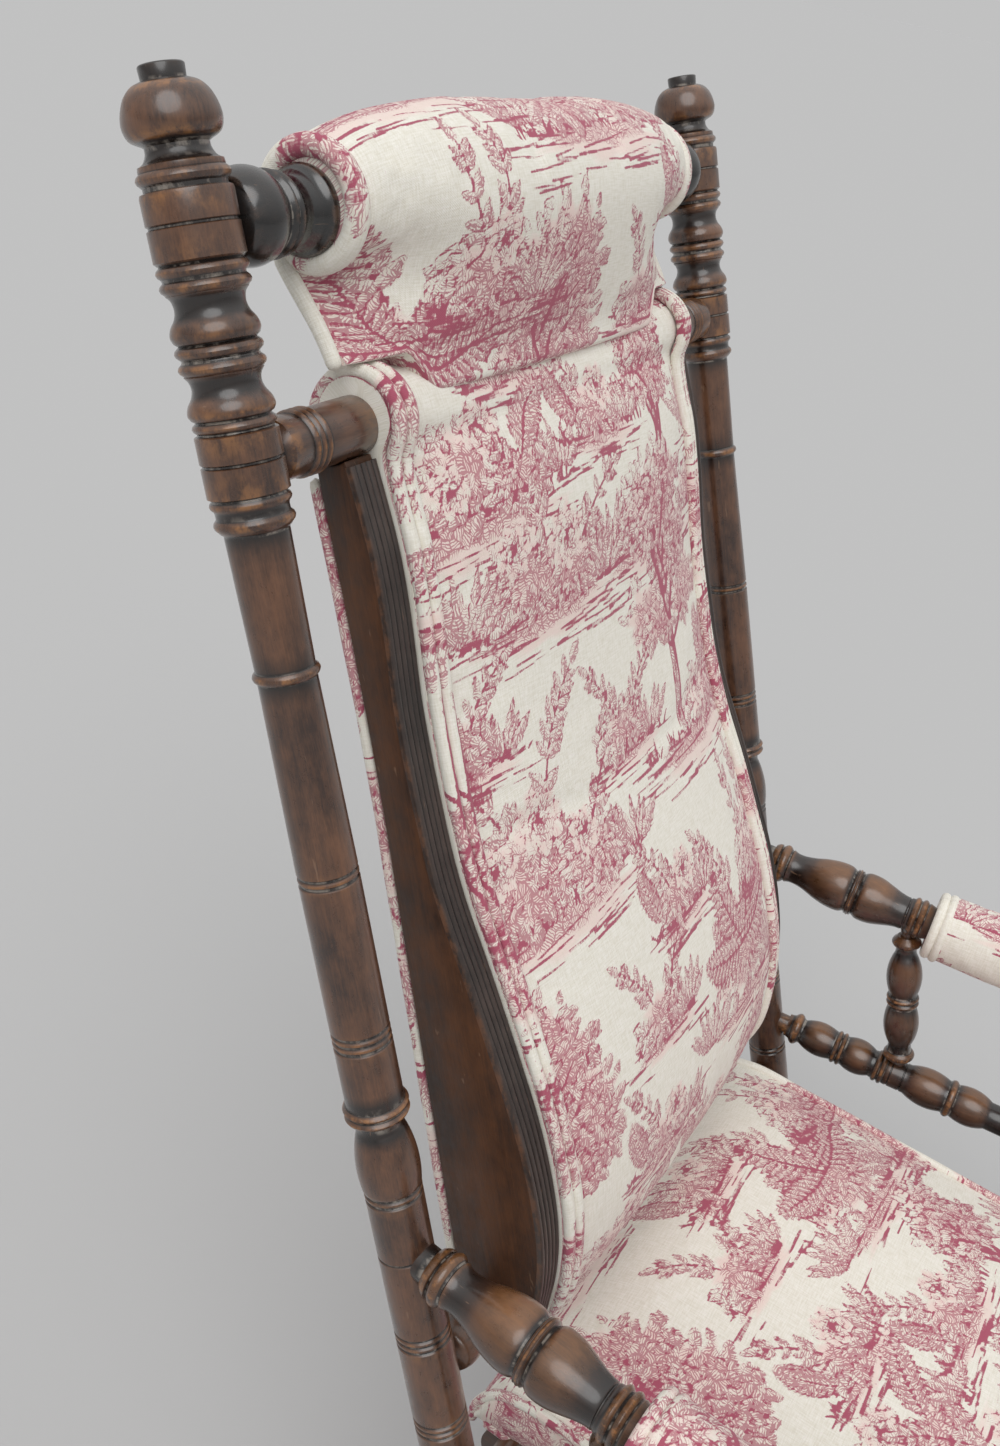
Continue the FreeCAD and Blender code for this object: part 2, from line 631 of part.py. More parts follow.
def curve_down(shift=0.0):
    """The front line of the back from the upper rail to below the belly, as corners with their rises."""
    down = Vector(0, -1, 0)
    bulge = Vector(-size("board_bulge") - shift, FRONT_BULGE_UP, 0)
    hollow = Vector(-size("board_hollow") - shift, FRONT_HOLLOW_UP, 0)
    belly = Vector(-size("board_belly") - shift, FRONT_BELLY_UP, 0)
    top = Vector(-FRONT_TOP_AHEAD - shift, FRONT_TOP_UP, 0)
    corners = [(bulge.x, bulge.y, -bow(bulge, top, Vector(0, 1, 0)))]
    for first, last, share in ((bulge, hollow, 0.5), (hollow, belly, FRONT_JOIN_SHARE)):
        join = first + (last - first) * share
        rise_one = bow(first, join, down)
        rise_two = -bow(last, join, Vector(0, 1, 0))
        corners.append((join.x, join.y, rise_one))
        corners.append((last.x, last.y, rise_two))
    drop = math.sqrt(BELLY_RADIUS ** 2 - BELLY_DROP ** 2)
    low = Vector(belly.x + BELLY_RADIUS - drop, belly.y - BELLY_DROP, 0)
    corners.append((low.x, low.y, bow(belly, low, down)))
    return corners


def make_boards():
    outer = size("board_outer")
    thickness = size("board_thickness")
    body = new_body("side_board_blank")
    sketch = sketch_on(body, "side_board_outline", "YZ_Plane", -outer)
    rail = size("upper_rail_down")
    cope = size("rail_radius") + FIT
    reach = math.sqrt(cope ** 2 - FRONT_TOP_AHEAD ** 2)
    top = -rail - reach
    bottom = -BOARD_BOTTOM_DOWN
    corners = [(-FRONT_TOP_AHEAD, top, cope - reach)] + curve_down()
    corners += [(-12.0, bottom + 4, -3.0), (6.0, bottom + 2, -2.0), (REAR_LOW_BEHIND, REAR_LOW_UP, -5.0),
                (REAR_TOP_BEHIND, top, REAR_HOLLOW)]
    draw_outline(sketch, corners)
    pad = body.newObject("PartDesign::Pad", "side_board_thickness")
    pad.Profile = sketch
    pad.setExpression("Length", "Sizes.board_thickness")
    body.Placement = BACK_PLACE
    lower_joint = tilted(-outer - 20, 0, -LOWER_RAIL_DOWN)
    tools = [rod("lower_rail_hole", lower_joint, ACROSS, size("lower_rail_radius") + FIT, 60)]
    tools += reed_cutters(outer, thickness)
    keep_pair(cut("back_side_board", body, tools), "back_side_board")


def reed_cutters(outer, thickness):
    """The hollows between the reeds, swept down the front edge."""
    cutters = []
    count = int(size("reed_count"))
    line = curve_down()
    points = [Vector(-FRONT_TOP_AHEAD, FRONT_TOP_UP, 0)]
    points += [Vector(x, y, 0) for x, y, rise_here in line]
    for number in range(count):
        across = -outer + thickness * (number + 1) / (count + 1)
        path = []
        for index, corner in enumerate(line):
            first, last = points[index], points[index + 1]
            middle = arc_middle(first, last, corner[2])
            place = [Vector(across, p.x, p.y) for p in (first, middle, last)]
            path.append(Part.Arc(*place).toShape())
        wire = Part.Wire(path)
        start = Vector(across, points[0].x, points[0].y)
        tangent = path[0].tangentAt(path[0].FirstParameter)
        ring = Part.Wire(Part.makeCircle(size("reed_radius") * 0.62, start, tangent))
        solid = wire.makePipeShell([ring], True, False)
        cutter = doc.addObject("Part::Feature", "reed_hollow_%d" % (number + 1))
        cutter.Shape = solid
        cutter.Placement = BACK_PLACE
        cutters.append(cutter)
    return cutters


def loft(label, stations, outline):
    """A body lofted across the chair through outlines at several distances from the middle."""
    body = new_body(label)
    sketches = []
    for number, across in enumerate(stations):
        sketch = sketch_on(body, "%s_section_%d" % (label, number + 1), "YZ_Plane", across)
        draw_outline(sketch, outline(across))
        sketches.append(sketch)
    solid = body.newObject("PartDesign::AdditiveLoft", label + "_loft")
    solid.Profile = sketches[0]
    solid.Sections = sketches[1:]
    body.Tip = solid
    for sketch in sketches:
        sketch.Visibility = False
    return body


def crown(across, half_width, power=2.0):
    """One in the middle, nothing at the sides."""
    return 1.0 - (abs(across) / half_width) ** power


def make_headrest():
    half = size("headrest_half_width")
    middle = -size("crest_rail_down")
    crease = -(size("upper_rail_down") - 13)

    def section(across):
        full = crown(across, half, 2.4)
        radius = size("headrest_end_radius") + size("headrest_crown") * full
        first, last = math.radians(-35), math.radians(275 - 50 * full)
        halfway = (first + last) / 2

        def on_roll(angle):
            return Vector(radius * math.cos(angle), middle + radius * math.sin(angle), 0)

        bulge = radius * (1 - math.cos((last - first) / 4))
        rear, top, front = on_roll(first), on_roll(halfway), on_roll(last)
        return [(rear.x, rear.y, 0.0), (top.x, top.y, -bulge), (front.x, front.y, -bulge),
                (-20.0 - 4 * full, crease, 3.0 + 3 * full), (17.0, crease, 0.0)]

    stations = [-half, -half * 0.72, -half * 0.36, 0.0, half * 0.36, half * 0.72, half]
    body = loft("headrest_stuffing", stations, section)
    body.Placement = BACK_PLACE
    crest = tilted(-HALF_SPACING, 0, middle)
    upper = tilted(-HALF_SPACING, 0, -size("upper_rail_down"))
    length = size("post_spacing")
    tools = [rod("crest_bore", crest, ACROSS, size("crest_end_radius") + FIT, length),
             rod("crease_hollow", upper, ACROSS, size("upper_roll_radius") + FIT, length)]
    keep(cut("headrest_pad", body, tools))


def make_back_pad():
    inner = size("board_outer") - size("board_thickness") - FIT

    def section(across):
        full = crown(across, inner, 2.4)
        shift = 1.0 + size("pad_crown") * full
        bottom = -BOARD_BOTTOM_DOWN
        corners = [(-FRONT_TOP_AHEAD - shift, FRONT_TOP_UP, 0.0)] + curve_down(shift)
        corners += [(-14.0 - shift, bottom - 4, -2.0), (8.0, bottom - 6, -4.0),
                    (REAR_LOW_BEHIND - 1, REAR_LOW_UP, -4.0),
                    (REAR_TOP_BEHIND - 1, FRONT_TOP_UP + 4, REAR_HOLLOW)]
        return corners

    stations = [-inner, -inner * 0.66, 0.0, inner * 0.66, inner]
    panel = loft("back_panel_stuffing", stations, section)
    panel.Placement = BACK_PLACE
    roll = size("upper_roll_radius")
    reach = inner - 1
    upper = tilted(-reach, 0, -size("upper_rail_down"))
    form = Turning(0, roll - 4).to(4, roll, 1.2).to(2 * reach - 4, roll).to(2 * reach, roll - 4, 1.2)
    over = turn("upper_roll_stuffing", form, upper, ACROSS)
    whole = fuse("back_stuffing", [panel, over])
    length = size("post_spacing")
    upper_joint = tilted(-HALF_SPACING, 0, -size("upper_rail_down"))
    lower_joint = tilted(-HALF_SPACING, 0, -LOWER_RAIL_DOWN)
    tools = [rod("upper_bore", upper_joint, ACROSS, size("rail_radius") + FIT, length),
             rod("lower_bore", lower_joint, ACROSS, size("lower_rail_radius") + FIT, length)]
    keep(cut("back_pad", whole, tools))

    body = new_body("back_cover_blank")
    sketch = sketch_on(body, "back_cover_outline", "YZ_Plane", -size("cover_half_width"))
    thick = size("cover_thickness")
    low = (REAR_LOW_BEHIND + FIT, REAR_LOW_UP)
    high = (REAR_TOP_BEHIND + FIT, FRONT_TOP_UP)
    corners = [(low[0] + thick, low[1], 0.0), (high[0] + thick, high[1], REAR_HOLLOW),
               (high[0], high[1], 0.0), (low[0], low[1], -REAR_HOLLOW)]
    draw_outline(sketch, corners)
    pad = body.newObject("PartDesign::Pad", "back_cover_width")
    pad.Profile = sketch
    pad.setExpression("Length", "2 * Sizes.cover_half_width")
    body.Placement = BACK_PLACE
    room = rod("cover_clearance", upper_joint, ACROSS, roll + FIT, length)
    keep(cut("back_cover", body, [room]))


# Seat

def make_seat():
    half = size("seat_half_width")
    rear, front = SEAT_REAR, SEAT_FRONT
    edge = SEAT_EDGE
    bottom = SEAT_BOTTOM
    over = size("seat_overhang")

    def section(across):
        full = crown(across, half, 2.6)
        swell = size("seat_crown") * full
        top = edge + swell
        return [(rear.y + over - 8, bottom + 14, -4.0), (rear.y + over - 14, edge - 16, -4.0),
                (rear.y + over - 34, top - 3, -6.0), (front.y - over + 40, top + 2, -2.0),
                (front.y - over + 8, edge - 18, -10.0), (front.y - over + 10, bottom + 12, -4.0),
                (front.y - over + 26, bottom, -4.0), (rear.y + over - 26, bottom, 0.0)]

    stations = [-half, -half * 0.7, 0.0, half * 0.7, half]
    stuffing = loft("seat_stuffing", stations, section)
    board_top = edge - 40
    thickness = size("board_thickness")
    bore = size("seat_rail_radius") + FIT
    front_joint = Vector(-HALF_SPACING, front.y, front.z)
    tools = [rod("seat_rear_bore", rear, ACROSS, bore, size("post_spacing")),
             rod("seat_front_bore", front_joint, ACROSS, bore, size("post_spacing"))]
    for side in (-1, 1):
        low, high = sorted((side * (half + 30), side * (half - thickness - FIT)))
        tools.append(box("board_room_%s" % ("right" if side < 0 else "left"),
                         Vector(low, front.y - 80, bottom - 30), Vector(high, rear.y + 80, board_top + FIT)))
    deck_top = bottom + size("seat_deck_thickness")
    deck_half = half - thickness - 4
    tools.append(box("deck_room", Vector(-deck_half - 1, front.y + 24, bottom - 1),
                     Vector(deck_half + 1, rear.y - 24, deck_top + FIT)))
    keep(cut("seat_pad", stuffing, tools))

    deck = box("seat_deck", Vector(-deck_half, front.y + 25, bottom + 4),
               Vector(deck_half, rear.y - 25, deck_top))
    keep(deck, "seat_webbing")

    body = new_body("seat_board_blank")
    sketch = sketch_on(body, "seat_board_outline", "YZ_Plane", -half)
    high = board_top
    low = board_top - size("seat_board_height")
    draw_outline(sketch, [(rear.y + 22, high, 0.0), (front.y - 20, high, 0.0),
                          (front.y - 26, high - 14, -3.0), (front.y - 14, low, -6.0),
                          (rear.y + 12, low + 4, 5.0), (rear.y + 26, high - 16, -5.0)])
    pad = body.newObject("PartDesign::Pad", "seat_board_thickness")
    pad.Profile = sketch
    pad.setExpression("Length", "Sizes.board_thickness")
    hole = size("seat_rail_radius") + FIT
    tools = [rod("seat_board_rear_hole", rear, ACROSS, hole, 150),
             rod("seat_board_front_hole", front, ACROSS, hole, 150)]
    keep_pair(cut("seat_side_board", body, tools), "seat_side_board")


# Rockers, base and springs

def make_rockers():
    half = size("rocker_thickness") / 2
    centre_x = -size("rocker_spacing") / 2
    behind, ahead = size("rocker_behind"), size("rocker_ahead")
    radius = size("rocker_radius")
    contact = CONTACT.y
    top = ROCKER_TOP

    def lift(distance):
        return ROCKER_BOTTOM + radius - math.sqrt(radius ** 2 - distance ** 2)

    def lower_bow(distance):
        return radius * (1 - math.cos(math.asin(distance / radius) / 2))

    body = new_body("rocker_blank")
    sketch = sketch_on(body, "rocker_outline", "YZ_Plane", centre_x - half)
    low_rear, low_front = lift(behind), lift(ahead)
    corners = [(contact, ROCKER_BOTTOM, -lower_bow(ahead)), (contact + behind, low_rear, -lower_bow(behind)),
               (contact + behind + 12, low_rear + 16, -5.0), (contact + behind - 4, top - 3, -5.0),
               (contact + behind - 30, top, -2.0), (contact - ahead + 34, top, 0.0),
               (contact - ahead + 2, top - 5, 2.0), (contact - ahead - 9, low_front + 8, -4.0),
               (contact - ahead, low_front, -3.0)]
    draw_outline(sketch, corners)
    pad = body.newObject("PartDesign::Pad", "rocker_width")
    pad.Profile = sketch
    pad.setExpression("Length", "Sizes.rocker_thickness")
    foot = size("foot_radius") + FIT
    back_foot = tilted(-HALF_SPACING, 0, -POST_LENGTH - size("spigot_length") - FIT)
    front_foot = ARM_END + FRONT_DOWN * (FRONT_LENGTH + size("spigot_length") + FIT)
    tools = [rod("back_foot_socket", back_foot, POST_UP, foot, 80),
             rod("front_foot_socket", front_foot, FRONT_DOWN * -1, foot, 80)]
    tools += screw_holes("rocker_pilot", ROCKER_FACE, UPPER_SCREW, CONTACT.y)
    keep_pair(cut("rocker", body, tools), "rocker")


def make_base():
    half = size("base_rail_width") / 2
    centre_x = -size("rocker_spacing") / 2
    top = size("base_top_height")
    depth = size("base_rail_depth")
    back, front = CONTACT.y + size("base_behind"), CONTACT.y - size("base_ahead")
    body = new_body("base_rail_blank")
    sketch = sketch_on(body, "base_rail_outline", "YZ_Plane", centre_x - half)
    draw_outline(sketch, [(back - 10, top, -3.0), (front + 10, top, 0.0), (front, top - 12, -3.0),
                          (front + 16, top - depth, -5.0), (back - 16, top - depth, 0.0),
                          (back, top - 12, -5.0)])
    pad = body.newObject("PartDesign::Pad", "base_rail_width")
    pad.Profile = sketch
    pad.setExpression("Length", "Sizes.base_rail_width")
    inset = size("cross_rail_inset")
    tools = []
    ways = (("rear", back - inset), ("front", front + inset))
    rail_height = top - depth / 2
    for name, along in ways:
        tools.append(rod("base_%s_socket" % name, Vector(centre_x, along, rail_height), ACROSS, SOCKET, 60))
    foot_places = (("rear", back - size("foot_inset")), ("front", front + size("foot_inset")))
    for name, along in foot_places:
        tools.append(rod("base_%s_foot_hole" % name, Vector(centre_x, along, top - depth - 1),
                         Vector(0, 0, 1), SOCKET, 1 + size("foot_tenon_length") + FIT))
    tools += screw_holes("base_pilot", BASE_FACE, LOWER_SCREW, CONTACT.y)
    keep_pair(cut("base_rail", body, tools), "base_rail")

    for name, along in ways:
        joint = Vector(centre_x, along, rail_height)
        middle = -centre_x
        form = Turning(FIT, TENON).to(half + FIT, TENON).to(half + FIT, 12).bead(half + 6, 8, 12, 2)
        form.to(half + 18, 11, -1).to(half + 90, 14, 3).bead(half + 95, 8, 13, 2)
        form.to(half + 108, 11, -1).to(middle - 5, 15, 3)
        keep(cross_rail("base_cross_rail_" + name, joint, form.mirrored(middle)))

    wide = size("base_foot_radius")
    floor_to_rail = top - depth
    for name, along in foot_places:
        form = Turning(0, wide - 13).to(2, wide - 11).to(30, wide - 9, 9).bead(34, 7, wide - 9, 2)
        form.to(44, wide - 12, -1).to(56, wide - 7, -2).bead(62, 8, wide - 7, 2)
        form.to(floor_to_rail, wide - 6).to(floor_to_rail, TENON)
        form.to(floor_to_rail + size("foot_tenon_length"), TENON)
        foot = turn("base_foot_" + name, form, Vector(centre_x, along, 0), Vector(0, 0, 1))
        keep_pair(foot, "base_foot_" + name)


def bracket(label, face_x, seat_height, screw_height, along):
    """An angle plate: one leg screwed to a rail's inner face, the other carrying two coils."""
    thick = size("bracket_thickness")
    reach = size("spring_inset") + size("spring_radius") + 6
    length = size("bracket_length") / 2
    upright_low = min(seat_height, screw_height - 9)
    upright_high = max(seat_height + thick, screw_height + 9)
    upright = box(label + "_upright", Vector(face_x, along - length, upright_low),
                  Vector(face_x + thick, along + length, upright_high))
    shelf = box(label + "_shelf", Vector(face_x, along - length, seat_height),
                Vector(face_x + reach, along + length, seat_height + thick))
    plate = fuse(label + "_plate", [upright, shelf])
    doc.recompute()
    rounded = doc.addObject("Part::Fillet", label + "_rounded")
    rounded.Base = plate
    edges = []
    for number, edge in enumerate(plate.Shape.Edges, start=1):
        ends = [vertex.Point for vertex in edge.Vertexes]
        far = all(abs(point.x - face_x - reach) < 0.01 for point in ends)
        if len(ends) == 2 and abs(ends[0].z - ends[1].z) > 1 and far:
            edges.append((number, 8.0, 8.0))
    rounded.Edges = edges
    holes = [rod("%s_hole_%d" % (label, side), Vector(face_x - 5, along + side * (length - 10), screw_height),
                 ACROSS, size("screw_radius") + FIT, 20) for side in (-1, 1)]
    return cut(label, rounded, holes)


def screws(label, face_x, screw_height, along):
    """Two round-headed screws through a bracket into the rail."""
    solids = []
    thick = size("bracket_thickness")
    length = size("bracket_length") / 2
    for side in (-1, 1):
        form = Turning(-14, 0.6).to(-11, size("screw_radius")).to(thick + 0.3, size("screw_radius"))
        form.to(thick + 0.3, 4.6).to(thick + 3, 2.0, 0.8)
        solids.append(turn("%s_%d" % (label, 1 if side < 0 else 2), form,
                           Vector(face_x, along + side * (length - 10), screw_height), ACROSS))
    return solids


def screw_holes(label, face_x, screw_height, along):
    """Pilot holes for the two screws of a bracket."""
    length = size("bracket_length") / 2
    return [rod("%s_%d" % (label, side), Vector(face_x + 1, along + side * (length - 10), screw_height),
                ACROSS * -1, size("screw_radius") + FIT, 16) for side in (-1, 1)]


def biarc(first, leaving, last, arriving):
    """Two arcs that join two points smoothly with given directions at both."""
    gap = last - first
    both = leaving + arriving
    square = 2 * leaving.dot(arriving) - 2
    middle_term = -2 * gap.dot(both)
    constant = gap.dot(gap)
    root = math.sqrt(middle_term ** 2 - 4 * square * constant)
    reach = max((-middle_term + root) / (2 * square), (-middle_term - root) / (2 * square))
    join = (first + leaving * reach + last - arriving * reach) * 0.5
    return [tangent_arc(first, leaving, join), tangent_arc(last, arriving * -1, join, True)]


def tangent_arc(first, leaving, last, backwards=False):
    """An arc from first, leaving in a given direction, to last; or the same arc walked backwards."""
    along = last - first
    side = along - leaving * along.dot(leaving)
    side.normalize()
    radius = along.dot(along) / (2 * along.dot(side))
    angle = 2 * math.asin(min(1.0, along.Length / (2 * radius)))
    middle = first + leaving * (radius * math.sin(angle / 2)) + side * (radius * (1 - math.cos(angle / 2)))
    if backwards:
        return Part.Arc(last, middle, first)
    return Part.Arc(first, middle, last)


def coil(centre, bottom, top):
    """One unbroken spring: straight ends, square to the plates, and a helix of quarter-turn biarcs."""
    radius = size("spring_radius")
    wire = size("wire_radius")
    turns = int(size("spring_turns"))
    bend = wire * 2.2
    stub = wire * 2
    climb_room = top - bottom - 2 * (stub + bend)
    pitch = climb_room / turns
    slope = pitch / (2 * math.pi * radius)
    steady = math.sqrt(1 + slope * slope)

    def place(angle):
        return centre + Vector(radius * math.cos(angle), radius * math.sin(angle),
                               bottom + stub + bend + pitch * angle / (2 * math.pi))

    def way(angle):
        return Vector(-math.sin(angle) / steady, math.cos(angle) / steady, slope / steady)

    end_angle = 2 * math.pi * turns
    up = Vector(0, 0, 1)
    edges = []
    start, start_way = place(0), way(0)
    flat = Vector(start_way.x, start_way.y, 0).normalize()
    tilt = math.atan(slope)
    sweep = math.pi / 2 - tilt
    first = start - flat * bend * (1 - math.cos(sweep)) - up * bend * math.sin(sweep)
    base = Vector(first.x, first.y, bottom)
    edges.append(Part.LineSegment(base, first))
    edges.append(tangent_arc(first, up, start))
    quarters = 4 * turns
    for number in range(quarters):
        low, high = end_angle * number / quarters, end_angle * (number + 1) / quarters
        edges += biarc(place(low), way(low), place(high), way(high))
    finish, finish_way = place(end_angle), way(end_angle)
    flat = Vector(finish_way.x, finish_way.y, 0).normalize()
    last = finish + flat * bend * (1 - math.cos(sweep)) + up * bend * math.sin(sweep)
    edges.append(tangent_arc(finish, finish_way, last))
    edges.append(Part.LineSegment(last, Vector(last.x, last.y, top)))
    path = Part.Wire([edge.toShape() for edge in edges])
    ring = Part.Wire(Part.makeCircle(wire, base, up))
    solid = path.makePipeShell([ring], True, False)
    return solid, path, pitch


def least_gap(path, wire, pitch):
    """The least room between two neighbouring turns of a tube, measured on points of its line."""
    count = 240
    points = path.discretize(count)
    step = path.Length / (count - 1)
    apart = int(3 * pitch / step) + 2
    least = min((points[i] - points[j]).Length for i in range(count) for j in range(i + apart, count))
    return least - 2 * wire


def make_springs():
    along = CONTACT.y
    low_seat, high_seat = LOWER_SPRING_SEAT, UPPER_SPRING_SEAT
    thick = size("bracket_thickness")
    lower = bracket("lower_spring_bracket", BASE_FACE, low_seat - thick, LOWER_SCREW, along)
    upper = bracket("upper_spring_bracket", ROCKER_FACE, high_seat, UPPER_SCREW, along)
    keep_pair(lower, "lower_spring_bracket")
    keep_pair(upper, "upper_spring_bracket")
    coils = []
    centre_x = BASE_FACE + size("spring_inset")
    for side in (-1, 1):
        centre = Vector(centre_x, along + side * size("spring_spread") / 2, 0)
        solid, path, pitch = coil(centre, low_seat, high_seat)
        coils.append(solid)
    print("spring: pitch %.2f mm, least gap to itself %.2f mm"
          % (pitch, least_gap(path, size("wire_radius"), pitch)))
    springs = doc.addObject("Part::Feature", "rocker_springs")
    springs.Shape = Part.makeCompound(coils)
    keep_pair(springs, "rocker_springs")
    lower_screws = doc.addObject("Part::Compound", "lower_bracket_screws")
    lower_screws.Links = screws("lower_screw", BASE_FACE, LOWER_SCREW, along)
    keep_pair(lower_screws, "lower_bracket_screws")
    upper_screws = doc.addObject("Part::Compound", "upper_bracket_screws")
    upper_screws.Links = screws("upper_screw", ROCKER_FACE, UPPER_SCREW, along)
    keep_pair(upper_screws, "upper_bracket_screws")


# The whole chair

def check_and_write():
    """Stop on any failed feature or empty solid, then write each piece to its own file."""
    doc.recompute()
    for item in doc.Objects:
        if "Invalid" in item.State or "Error" in item.State:
            raise RuntimeError("%s failed: %s" % (item.Label, item.State))
    os.makedirs("parts", exist_ok=True)
    for piece in PARTS:
        shape = piece.Shape
        if shape.isNull() or not shape.isValid() or not shape.Solids:
            raise RuntimeError("%s has no valid solid" % piece.Label)
        shape.exportStep("parts/%s.step" % piece.Label)
    print("%d pieces written" % len(PARTS))


make_posts()
make_cross_rails()
make_arms()
make_boards()
make_headrest()
make_back_pad()
make_seat()
make_rockers()
make_base()
make_springs()
check_and_write()
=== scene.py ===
import math
import random

import bmesh
import bpy
import numpy as np
from mathutils import Matrix, Vector


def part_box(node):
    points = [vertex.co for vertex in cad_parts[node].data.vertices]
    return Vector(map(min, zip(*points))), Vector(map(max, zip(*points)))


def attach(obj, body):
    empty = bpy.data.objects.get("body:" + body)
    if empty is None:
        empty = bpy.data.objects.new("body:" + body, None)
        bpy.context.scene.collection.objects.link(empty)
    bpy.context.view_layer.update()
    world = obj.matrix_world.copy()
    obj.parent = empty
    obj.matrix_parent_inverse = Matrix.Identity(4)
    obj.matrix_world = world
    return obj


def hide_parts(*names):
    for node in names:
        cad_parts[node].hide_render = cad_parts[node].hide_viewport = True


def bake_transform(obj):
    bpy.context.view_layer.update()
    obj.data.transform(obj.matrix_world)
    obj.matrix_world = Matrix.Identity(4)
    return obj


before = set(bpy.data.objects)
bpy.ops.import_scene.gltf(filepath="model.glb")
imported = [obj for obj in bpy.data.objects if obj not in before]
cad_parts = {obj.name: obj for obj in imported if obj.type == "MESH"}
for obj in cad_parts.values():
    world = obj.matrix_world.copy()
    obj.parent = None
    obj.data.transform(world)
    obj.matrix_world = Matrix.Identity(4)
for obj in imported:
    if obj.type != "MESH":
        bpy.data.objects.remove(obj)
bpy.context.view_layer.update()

# A high-backed rocking armchair: turned and polished posts, reeded side boards, and a scroll back, arms
# and seat covered in printed linen with piped seams. Lengths in the lists below are millimetres.

MM = 0.001
RAKE = math.radians(22.0)
BALL_BEHIND = 407.1
BALL_HEIGHT = 1120.0
HALF_SPACING = 260.0
POST_LENGTH = 997.0
CREST = 41.3
UPPER = 144.0
LOWER = 684.0
BOARD_OUTER = 198.0
BOARD_INNER = 176.0
SEAT_HALF = 196.0
ARM_DOWN = 592.0
ARM_LENGTH = 460.0
SIDE_RAIL_DOWN = 757.7
SEAT_RAIL_DOWN = 815.0
STRETCHER_DOWN = 905.0
SPINDLE_ALONG_ARM = 141.0
SPINDLE_ALONG_SIDE = 124.0
FRONT_SPINDLE_FROM_ARM_END = 56.0
FRONT_SPINDLE_FROM_SIDE_END = 44.0
ARM_PAD_START, ARM_PAD_END = 160.0, 395.0
WELD = 0.00002
SMOOTH_TO = math.radians(38)


# Places

def on_back(across, behind, up):
    """Room places, in metres, from millimetres across, behind the post axes and up from the balls."""
    across, behind, up = np.broadcast_arrays(np.asarray(across, float), behind, up)
    y = BALL_BEHIND + behind * math.cos(RAKE) + up * math.sin(RAKE)
    z = BALL_HEIGHT - behind * math.sin(RAKE) + up * math.cos(RAKE)
    return np.stack([across, y, z], -1) * MM


def off_back(places):
    """Metres across, behind the post axes and up from the balls, for places in the room."""
    y, z = places[:, 1] - BALL_BEHIND * MM, places[:, 2] - BALL_HEIGHT * MM
    return np.stack([places[:, 0], y * math.cos(RAKE) - z * math.sin(RAKE),
                     y * math.sin(RAKE) + z * math.cos(RAKE)], -1)


def in_room(x, y, z):
    x, y, z = np.broadcast_arrays(np.asarray(x, float), y, z)
    return np.stack([x, y, z], -1) * MM


POST_UP = Vector((0, math.sin(RAKE), math.cos(RAKE)))
ACROSS = Vector((1, 0, 0))
ARM_WAY = Vector((-math.sin(math.radians(5.5)), -math.cos(math.radians(5.5)), math.sin(math.radians(1.2))))
ARM_WAY.normalize()


def post_spot(down, side=-1):
    """A point on a back post's axis."""
    return Vector(on_back(side * HALF_SPACING, 0.0, -down))


ARM_START = post_spot(ARM_DOWN)
ARM_END = ARM_START + ARM_WAY * ARM_LENGTH * MM
FRONT_DOWN = Vector((math.tan(math.radians(3.8)), -math.tan(math.radians(10.0)), -1.0)).normalized()
SIDE_START = post_spot(SIDE_RAIL_DOWN)
SIDE_END = ARM_END + FRONT_DOWN * ((SIDE_START.z - ARM_START.z) / FRONT_DOWN.z)
SIDE_WAY = (SIDE_END - SIDE_START).normalized()
SPINDLE_TOP = ARM_START + ARM_WAY * SPINDLE_ALONG_ARM * MM
SPINDLE_FOOT = SIDE_START + SIDE_WAY * SPINDLE_ALONG_SIDE * MM
FRONT_SPINDLE_TOP = ARM_END - ARM_WAY * FRONT_SPINDLE_FROM_ARM_END * MM
FRONT_SPINDLE_FOOT = SIDE_END - SIDE_WAY * FRONT_SPINDLE_FROM_SIDE_END * MM


def left_of(place):
    return Vector((-place.x, place.y, place.z))


# Making pieces

def only(piece):
    """Selects one piece and nothing else."""
    bpy.ops.object.select_all(action="DESELECT")
    piece.select_set(True)
    bpy.context.view_layer.objects.active = piece


def edit(piece, *steps):
    """Runs edit-mode steps with the whole of a piece selected."""
    only(piece)
    bpy.ops.object.mode_set(mode="EDIT")
    for step in steps:
        bpy.ops.mesh.select_all(action="SELECT")
        step()
    bpy.ops.object.mode_set(mode="OBJECT")


def tidy_skin():
    bpy.ops.mesh.remove_doubles(threshold=WELD)
    bpy.ops.mesh.select_all(action="SELECT")
    bpy.ops.mesh.normals_make_consistent(inside=False)


def finish_with(piece, kind, **settings):
    """Adds a modifier with its settings and applies it."""
    only(piece)
    changer = piece.modifiers.new(kind.title(), kind)
    for name, value in settings.items():
        setattr(changer, name, value)
    bpy.ops.object.modifier_apply(modifier=changer.name)


def keep_on(piece, body, material, slot, *nodes):
    """Gives a piece its material and its body, and hides the solids that it stands for."""
    piece.data.materials.clear()
    piece.data.materials.append(material)
    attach(piece, body)
    if nodes:
        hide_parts(*nodes)
    return piece


def number_on(piece, name, values):
    mark = piece.data.attributes.get(name) or piece.data.attributes.new(name, "FLOAT", "POINT")
    mark.data.foreach_set("value", np.asarray(values, np.float32))


def place_on(piece, name, places):
    mark = piece.data.attributes.get(name) or piece.data.attributes.new(name, "FLOAT_VECTOR", "POINT")
    mark.data.foreach_set("vector", np.asarray(places, np.float32).ravel())


def points_of(piece):
    flat = np.empty(len(piece.data.vertices) * 3, np.float32)
    piece.data.vertices.foreach_get("co", flat)
    return flat.reshape(-1, 3).astype(float)


def move_points(piece, places):
    piece.data.vertices.foreach_set("co", np.asarray(places, np.float32).ravel())
    piece.data.update()


